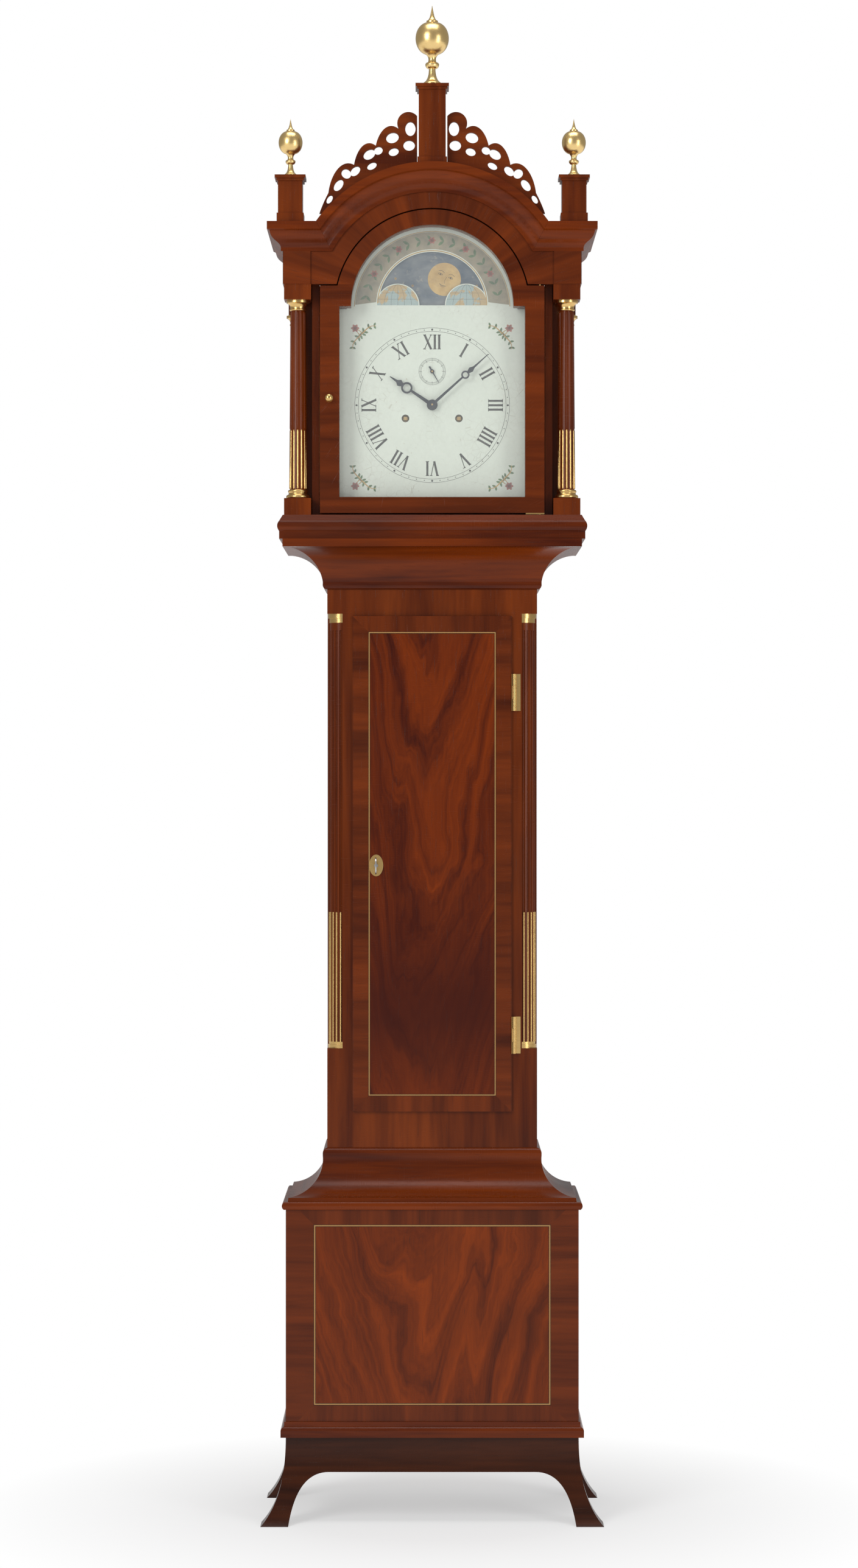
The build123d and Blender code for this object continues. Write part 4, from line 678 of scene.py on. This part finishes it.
# Millimetres. The parts of a letter are shares of its height, those of a globe are shares of its radius.
dialSettings = {
    "x": 0.0, "z": 1745.0,
    "numeralLow": 88.0, "numeralHigh": 111.0, "thick": 3.3, "thin": 1.15, "serif": 0.045,
    "trackLow": 116.0, "trackHigh": 121.5, "trackLine": 0.25, "fiveDot": 1.6, "minuteDot": 0.75,
    "secondsZ": 1798.0, "secondsRadius": 21.0, "secondsLine": 0.15, "tick": 3.5, "longTick": 5.0,
    "archZ": 1896.0, "globeX": 54.0, "globeZ": 1902.0, "globeRadius": 32.5, "globeLine": 0.3,
    "meridians": (-0.66, -0.33, 0.0, 0.33, 0.66), "parallels": (0.3, 0.6),
    "raise": 0.12, "step": 0.03, "groundStep": 0.04,
    "edgeLow": (85.2, 86.6), "edgeHigh": (121.5, 122.6), "bandLow": 88.0, "bandHigh": 121.0,
}
letters = {"I": 0.30, "V": 0.66, "X": 0.66}
hourWords = ("I", "II", "III", "IIII", "V", "VI", "VII", "VIII", "IX", "X", "XI", "XII")
spraySettings = {
    "x": 121.0, "lowZ": 1618.0, "highZ": 1866.0,
    "turn": 1.5 * math.pi, "reach": 26, "run": 34, "closing": 0.75,
    "sweepShare": 0.5, "runShare": 0.12, "line": 0.5, "swell": 1.3, "points": 40,
    "leafShares": (0.3, 0.5, 0.7, 0.9), "lean": 0.8, "leafLength": 9.5, "leafLoss": 4, "leafWidth": 3.4,
    "leafBend": 1.2, "petals": 6, "petal": (6.8, 4.2), "eye": 1.7,
}
archLeafSettings = {
    "pairs": 17, "degrees": 10.0, "radius": 105, "up": 3, "lean": 0.7, "leaf": (11.0, 4.2), "bend": 1.5,
    "flowerEvery": 3, "petals": 6, "petal": (6.0, 3.8), "eye": 1.5,
}


def paintLetter(paint, letter, spot, thick, thin, serif):
    # spot turns (across, up), both 0 to 1, into a place on the dial
    if letter == "I":
        paint.stroke(spot(0.5, 0), spot(0.5, 1), thick)
        for up in (serif / 2, 1 - serif / 2):
            paint.stroke(spot(0.12, up), spot(0.88, up), thin)
        return
    if letter == "V":
        paint.stroke(spot(0.18, 1), spot(0.52, 0), thick)
        paint.stroke(spot(0.84, 1), spot(0.52, 0), thin)
    else:
        paint.stroke(spot(0.16, 1), spot(0.84, 0), thick)
        paint.stroke(spot(0.84, 1), spot(0.16, 0), thin)
        for middle in (0.16, 0.84):
            paint.stroke(spot(middle - 0.14, serif / 2), spot(middle + 0.14, serif / 2), thin)
    for middle in (0.17, 0.84):
        paint.stroke(spot(middle - 0.14, 1 - serif / 2), spot(middle + 0.14, 1 - serif / 2), thin)


def paintDial():
    d = dialSettings
    y = dialPlate[0].y / mm - d["raise"]
    ink = Painting(y)
    centre = np.array([d["x"], d["z"]])
    for hour, word in enumerate(hourWords, 1):
        angle = math.radians(90 - 30 * hour)
        out = np.array([math.cos(angle), math.sin(angle)])
        side = np.array([math.sin(angle), -math.cos(angle)])
        height = d["numeralHigh"] - d["numeralLow"]
        total = sum(letters[c] for c in word) * height
        start = -total / 2
        for letter in word:
            width = letters[letter] * height

            def spot(across, up, start=start, width=width):
                return centre + out * (d["numeralLow"] + up * height) + side * (start + across * width)

            paintLetter(ink, letter, spot, d["thick"], d["thin"], d["serif"])
            start += width
    for radius in (d["trackLow"], d["trackHigh"]):
        ink.ring(centre, radius - d["trackLine"], radius + d["trackLine"], steps=180)
    trackMiddle = (d["trackLow"] + d["trackHigh"]) / 2
    for minute in range(60):
        angle = math.radians(6 * minute)
        place = centre + np.array([math.cos(angle), math.sin(angle)]) * trackMiddle
        ink.ring(place, 0.0, d["minuteDot"] if minute % 5 else d["fiveDot"], steps=16)
    seconds = np.array([d["x"], d["secondsZ"]])
    for radius in (d["secondsRadius"], d["secondsRadius"] - d["tick"]):
        ink.ring(seconds, radius - d["secondsLine"], radius + d["secondsLine"], steps=96)
    for tick in range(60):
        angle = math.radians(6 * tick)
        direction = np.array([math.cos(angle), math.sin(angle)])
        low = d["secondsRadius"] - (d["tick"] if tick % 5 else d["longTick"])
        width = d["secondsLine"] * (2 if tick % 5 else 4)
        ink.stroke(seconds + direction * low, seconds + direction * d["secondsRadius"], width)
    # meridians and parallels over the two half globes
    r = d["globeRadius"]
    t = np.linspace(0, math.pi / 2, 25)
    for side in (-1, 1):
        globeX = side * d["globeX"]
        for share in d["meridians"]:
            ink.curve(globeX + share * r * np.cos(t), d["globeZ"] + r * np.sin(t), d["globeLine"])
        for share in d["parallels"]:
            half = r * math.sqrt(1 - share ** 2)
            x = np.linspace(-half, half, 13)
            ink.curve(globeX + x, np.full(13, d["globeZ"] + share * r), d["globeLine"])
    ink.finish("dialInk", "ink", "case")

    globe = Painting(y + d["groundStep"])
    for side in (-1, 1):
        globe.ring((side * d["globeX"], d["globeZ"]), 0.0, r, 0, 180, 48)
    globe.finish("dialGlobes", "globe", "case")

    gold, leaves, roses = Painting(y), Painting(y + d["step"]), Painting(y - d["step"])
    for sideZ in (-1, 1):
        for sideX in (-1, 1):
            paintSpray(gold, leaves, roses, sideX, sideZ)
    # gold lines round the arch opening and round the painted band
    gold.ring((0, d["globeZ"]), *d["edgeLow"], 2, 178, 96)
    gold.ring((0, d["archZ"]), *d["edgeHigh"], 2, 178, 96)
    band = Painting(y + d["groundStep"])
    t, share = np.meshgrid(np.radians(np.linspace(3.2, 176.8, 97)), [0.0, 1.0], indexing="ij")
    radius = d["bandLow"] + share * (d["bandHigh"] - d["bandLow"])
    lift = (1 - share) * (d["globeZ"] - d["archZ"])
    band.grid(radius * np.cos(t), d["archZ"] + radius * np.sin(t) + lift)
    band.finish("dialArchBand", "archPaint", "case")
    paintArchLeaves(gold, leaves, roses)
    gold.finish("dialGoldScrolls", "goldPaint", "case")
    leaves.finish("dialLeaves", "leafPaint", "case")
    roses.finish("dialFlowers", "rosePaint", "case")


def paintFlower(gold, roses, place, settings):
    for petal in range(settings["petals"]):
        roses.leaf(place, 2 * math.pi * petal / settings["petals"], *settings["petal"])
    gold.ring(place, 0.0, settings["eye"], steps=18)


def paintSpray(gold, leaves, roses, sideX, sideZ):
    # two scrolls from a corner with leaves in pairs on them, and a flower where they meet
    s = spraySettings
    cornerX = sideX * s["x"]
    cornerZ = s["lowZ"] if sideZ < 0 else s["highZ"]
    t = np.linspace(0, 1, s["points"])
    angle = s["turn"] * t
    reach = s["reach"] * (1 - s["closing"] * t)
    sweep = reach * np.sin(angle) * s["sweepShare"]
    run = s["run"] * t - reach * (1 - np.cos(angle)) * s["runShare"]
    for across, up in ((sweep, run), (run, sweep)):
        x = cornerX - sideX * across
        z = cornerZ - sideZ * up
        gold.curve(x, z, s["line"] + s["swell"] * np.sin(np.pi * t))
        for share in s["leafShares"]:
            k = int(share * (s["points"] - 1))
            heading = math.atan2(z[k] - z[k - 1], x[k] - x[k - 1])
            length = s["leafLength"] - s["leafLoss"] * share
            for lean in (-s["lean"], s["lean"]):
                leaves.leaf((x[k], z[k]), heading + lean, length, s["leafWidth"], s["leafBend"] * lean)
    paintFlower(gold, roses, (cornerX, cornerZ), s)


def paintArchLeaves(gold, leaves, roses):
    # leaves in pairs along the band, with a flower on every third pair
    s = archLeafSettings
    for step in range(1, s["pairs"] + 1):
        angle = math.radians(s["degrees"] * step)
        z = dialSettings["archZ"] + s["up"] + s["radius"] * math.sin(angle)
        place = (s["radius"] * math.cos(angle), z)
        for lean in (-s["lean"], s["lean"]):
            leaves.leaf(place, angle + math.pi / 2 + lean, *s["leaf"], s["bend"] * lean)
        if step % s["flowerEvery"] == 0:
            paintFlower(gold, roses, place, s)


# Millimetres and degrees. Each line of the eyes and the mouth is its half length, height, bow and width:
# the first three are shares of the moon's radius, the width is in millimetres.
moonSettings = {
    "distance": 51.0, "radius": 26.0, "lean": -22.0, "raise": 0.1, "faceStep": 0.05,
    "eyeX": 0.33, "eyeLines": ((0.15, 0.20, 0.06, 0.5), (0.13, 0.20, -0.04, 0.4), (0.18, 0.36, 0.07, 0.6)),
    "pupilHeight": 0.21, "pupil": 1.0, "noseX": 0.05, "noseBow": 0.05, "noseZ": -0.03, "noseHalf": 0.20,
    "noseLine": 0.45, "mouthX": 0.02, "mouthLines": ((0.20, -0.40, 0.05, 0.8), (0.12, -0.47, 0.03, 0.4)),
    "stars": 26, "seed": 5, "starLow": 30, "starHigh": 86, "starTurn": 5, "clear": 30,
    "rays": 4, "rayLength": 5.2, "rayWidth": 0.9,
}


def paintMoon():
    # two moons half a turn apart, the first a little right of the top, with stars between
    s = moonSettings
    r = s["radius"]
    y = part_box("moon_disc")[0].y / mm - s["raise"]
    centre = np.array([0.0, dialSettings["archZ"]])
    moons, faces, stars = Painting(y), Painting(y - s["faceStep"]), Painting(y)
    t = np.linspace(-1, 1, 15)
    for turn in (0, 180):
        angle = math.radians(90 + s["lean"] + turn)
        up = np.array([math.cos(angle), math.sin(angle)])
        right = np.array([math.sin(angle), -math.cos(angle)])
        middle = centre + up * s["distance"]
        moons.ring(middle, 0.0, r, steps=72)

        def line(x, h, width, middle=middle, up=up, right=right):
            place = middle + np.outer(x, right) * r + np.outer(h, up) * r
            faces.curve(place[:, 0], place[:, 1], width)

        for side in (-1, 1):
            for half, height, bow, width in s["eyeLines"]:
                line(side * s["eyeX"] + half * t, height + bow * (1 - t ** 2), width)
            pupil = middle + right * side * s["eyeX"] * r + up * s["pupilHeight"] * r
            faces.ring(pupil, 0.0, s["pupil"], steps=14)
        line(s["noseX"] + s["noseBow"] * t ** 2, s["noseZ"] + s["noseHalf"] * t, s["noseLine"])
        for half, height, bow, width in s["mouthLines"]:
            line(s["mouthX"] + half * t, height + bow * t ** 2, width)
    scatter = np.random.default_rng(s["seed"])
    turns = scatter.uniform(-s["starTurn"], s["starTurn"], s["stars"])
    angles = np.radians(np.linspace(0, 360, s["stars"], endpoint=False) + turns)
    reach = scatter.uniform(s["starLow"], s["starHigh"], s["stars"])
    for a, distance in zip(angles, reach):
        # none on the moons
        if abs(math.sin(a - math.radians(90 + s["lean"]))) * distance < s["clear"]:
            continue
        place = centre + np.array([math.cos(a), math.sin(a)]) * distance
        for ray in range(s["rays"]):
            heading = ray * math.pi / s["rays"]
            base = place - s["rayLength"] / 2 * np.array([math.cos(heading), math.sin(heading)])
            stars.leaf(base, heading, s["rayLength"], s["rayWidth"])
    moons.finish("moonFaces", "moonPaint", "moon")
    faces.finish("moonLines", "ink", "moon")
    stars.finish("moonStars", "goldPaint", "moon")


rodSettings = {
    "count": 12, "radius": 1.55, "sunk": 0.35, "low": 1611.0, "stop": 1704.0, "high": 1889.0,
    "foot": 12.5, "neck": 10.5, "columnX": 210.0, "columnY": -76.0, "rows": 29, "around": 13, "reach": 115.0,
    "gap": 0.4, "tip": 0.0004,
}


def columnRods():
    # Half-round rods round the hood's columns, brass up to the stop, wood above, rounded at both ends
    r = rodSettings
    for label, side in (("Left", -1), ("Right", 1)):
        rodBundle("columnBrass" + label, side, r["low"], r["stop"], "brass")
    for label, side in (("Left", -1), ("Right", 1)):
        rodBundle("columnReeds" + label, side, r["stop"] + r["gap"], r["high"], "mahoganyUpright")


def rodBundle(name, side, low, high, finish):
    r = rodSettings
    arc = np.radians(np.linspace(-r["reach"], r["reach"], r["around"]))
    t, around = np.meshgrid(np.linspace(0, 1, r["rows"]), arc, indexing="ij")
    # heights crowd at both ends, where the radius closes as a quarter circle
    height = low + (high - low) * (0.5 - 0.5 * np.cos(math.pi * t))
    ends = np.clip(np.minimum(height - low, high - height) / r["radius"], 0, 1)
    size = r["radius"] * np.sqrt(np.clip(1 - (1 - ends) ** 2, r["tip"], 1))
    share = (height - r["low"]) / (r["high"] - r["low"])
    shaft = r["foot"] + (r["neck"] - r["foot"]) * share
    outward = shaft - r["sunk"] + size * np.cos(around)
    across = size * np.sin(around)
    points, quads = [], []
    for k, turn in enumerate(np.linspace(0, 2 * math.pi, r["count"], endpoint=False)):
        x = side * r["columnX"] + outward * math.cos(turn) - across * math.sin(turn)
        y = r["columnY"] + outward * math.sin(turn) + across * math.cos(turn)
        points.append(np.stack([x.ravel(), y.ravel(), height.ravel()], axis=1) * mm)
        quads.append(gridQuads(r["rows"], r["around"], k * r["rows"] * r["around"]))
    item = addMesh(name, np.concatenate(points), np.concatenate(quads), finish, "hood")
    item.data.shade_smooth()


paintDial()
paintMoon()
columnRods()
print("pieces made")


# Floor, backdrop, lamps and camera
stageSettings = {
    "floorHalf": 9.0, "fadeStart": 0.25, "fadeEnd": 0.75, "glow": 0.5,
    "floorColor": (0.93, 0.93, 0.93, 1), "floorRough": 0.9, "backdrop": 1.0, "ambient": 0.34,
}


def makeStage():
    s = stageSettings
    half = s["floorHalf"]
    mesh = bpy.data.meshes.new("studioFloor")
    corners = [(-half, -half, 0), (half, -half, 0), (half, half, 0), (-half, half, 0)]
    mesh.from_pydata(corners, [], [(0, 1, 2, 3)])
    floor = bpy.data.objects.new("studioFloor", mesh)
    scene.collection.objects.link(floor)
    material, tree, shader, place = newMaterial("studioFloor")
    x, y, z = split(tree, place)
    away = calc(tree, "SQRT", calc(tree, "ADD", calc(tree, "MULTIPLY", x, x), calc(tree, "MULTIPLY", y, y)))
    shader.inputs["Base Color"].default_value = s["floorColor"]
    shader.inputs["Roughness"].default_value = s["floorRough"]
    shader.inputs["Specular IOR Level"].default_value = 0.0
    # the floor goes over into the white backdrop away from the clock
    plain = addNode(tree, "ShaderNodeEmission")
    plain.inputs["Strength"].default_value = s["backdrop"]
    mix = addNode(tree, "ShaderNodeMixShader")
    fade = ramp(tree, away, s["fadeStart"], s["fadeEnd"], s["glow"], 1.0)
    feed(tree, mix.inputs[0], fade)
    tree.links.new(shader.outputs[0], mix.inputs[1])
    tree.links.new(plain.outputs[0], mix.inputs[2])
    output = next(n for n in tree.nodes if n.type == "OUTPUT_MATERIAL")
    tree.links.new(mix.outputs[0], output.inputs[0])
    mesh.materials.append(material)

    world = bpy.data.worlds.new("studio")
    scene.world = world
    world.use_nodes = True
    tree = world.node_tree
    background = tree.nodes["Background"]
    rays = addNode(tree, "ShaderNodeLightPath")
    seen = rays.outputs["Is Camera Ray"]
    background.inputs["Color"].default_value = (1, 1, 1, 1)
    feed(tree, background.inputs["Strength"], ramp(tree, seen, 0.0, 1.0, s["ambient"], s["backdrop"]))


def addLamp(name, place, target, size, power):
    lamp = bpy.data.lights.new(name, "AREA")
    lamp.shape = "RECTANGLE"
    lamp.size = size[0]
    lamp.size_y = size[1]
    lamp.energy = power
    item = bpy.data.objects.new(name, lamp)
    scene.collection.objects.link(item)
    item.location = place
    item.rotation_euler = (Vector(target) - Vector(place)).to_track_quat("-Z", "Y").to_euler()
    item.visible_camera = False


makeStage()
lampSettings = [
    ("keyLamp", (-2.6, -3.6, 2.9), (0, 0, 1.2), (1.5, 2.4), 84),
    ("fillLamp", (3.0, -3.2, 1.8), (0, 0, 1.1), (1.2, 2.6), 40),
    ("topLamp", (0.0, -0.6, 4.6), (0, 0, 1.2), (2.4, 1.6), 46),
]
for lampName, place, target, size, power in lampSettings:
    addLamp(lampName, place, target, size, power)

cameraSettings = {"x": -0.005, "z": 1.150, "distance": 6.0, "frameHeight": 2.447, "sensor": 36.0}


def makeCamera():
    data = bpy.data.cameras.new("photoCamera")
    data.sensor_width = cameraSettings["sensor"]
    data.sensor_fit = "AUTO"
    front = hoodDoor[0].y
    data.lens = cameraSettings["sensor"] * cameraSettings["distance"] / cameraSettings["frameHeight"]
    camera = bpy.data.objects.new("photoCamera", data)
    scene.collection.objects.link(camera)
    camera.location = (cameraSettings["x"], front - cameraSettings["distance"], cameraSettings["z"])
    camera.rotation_euler = (math.radians(90), 0, 0)
    scene.camera = camera


makeCamera()
scene.view_settings.view_transform = "Standard"

print("pieces finished")
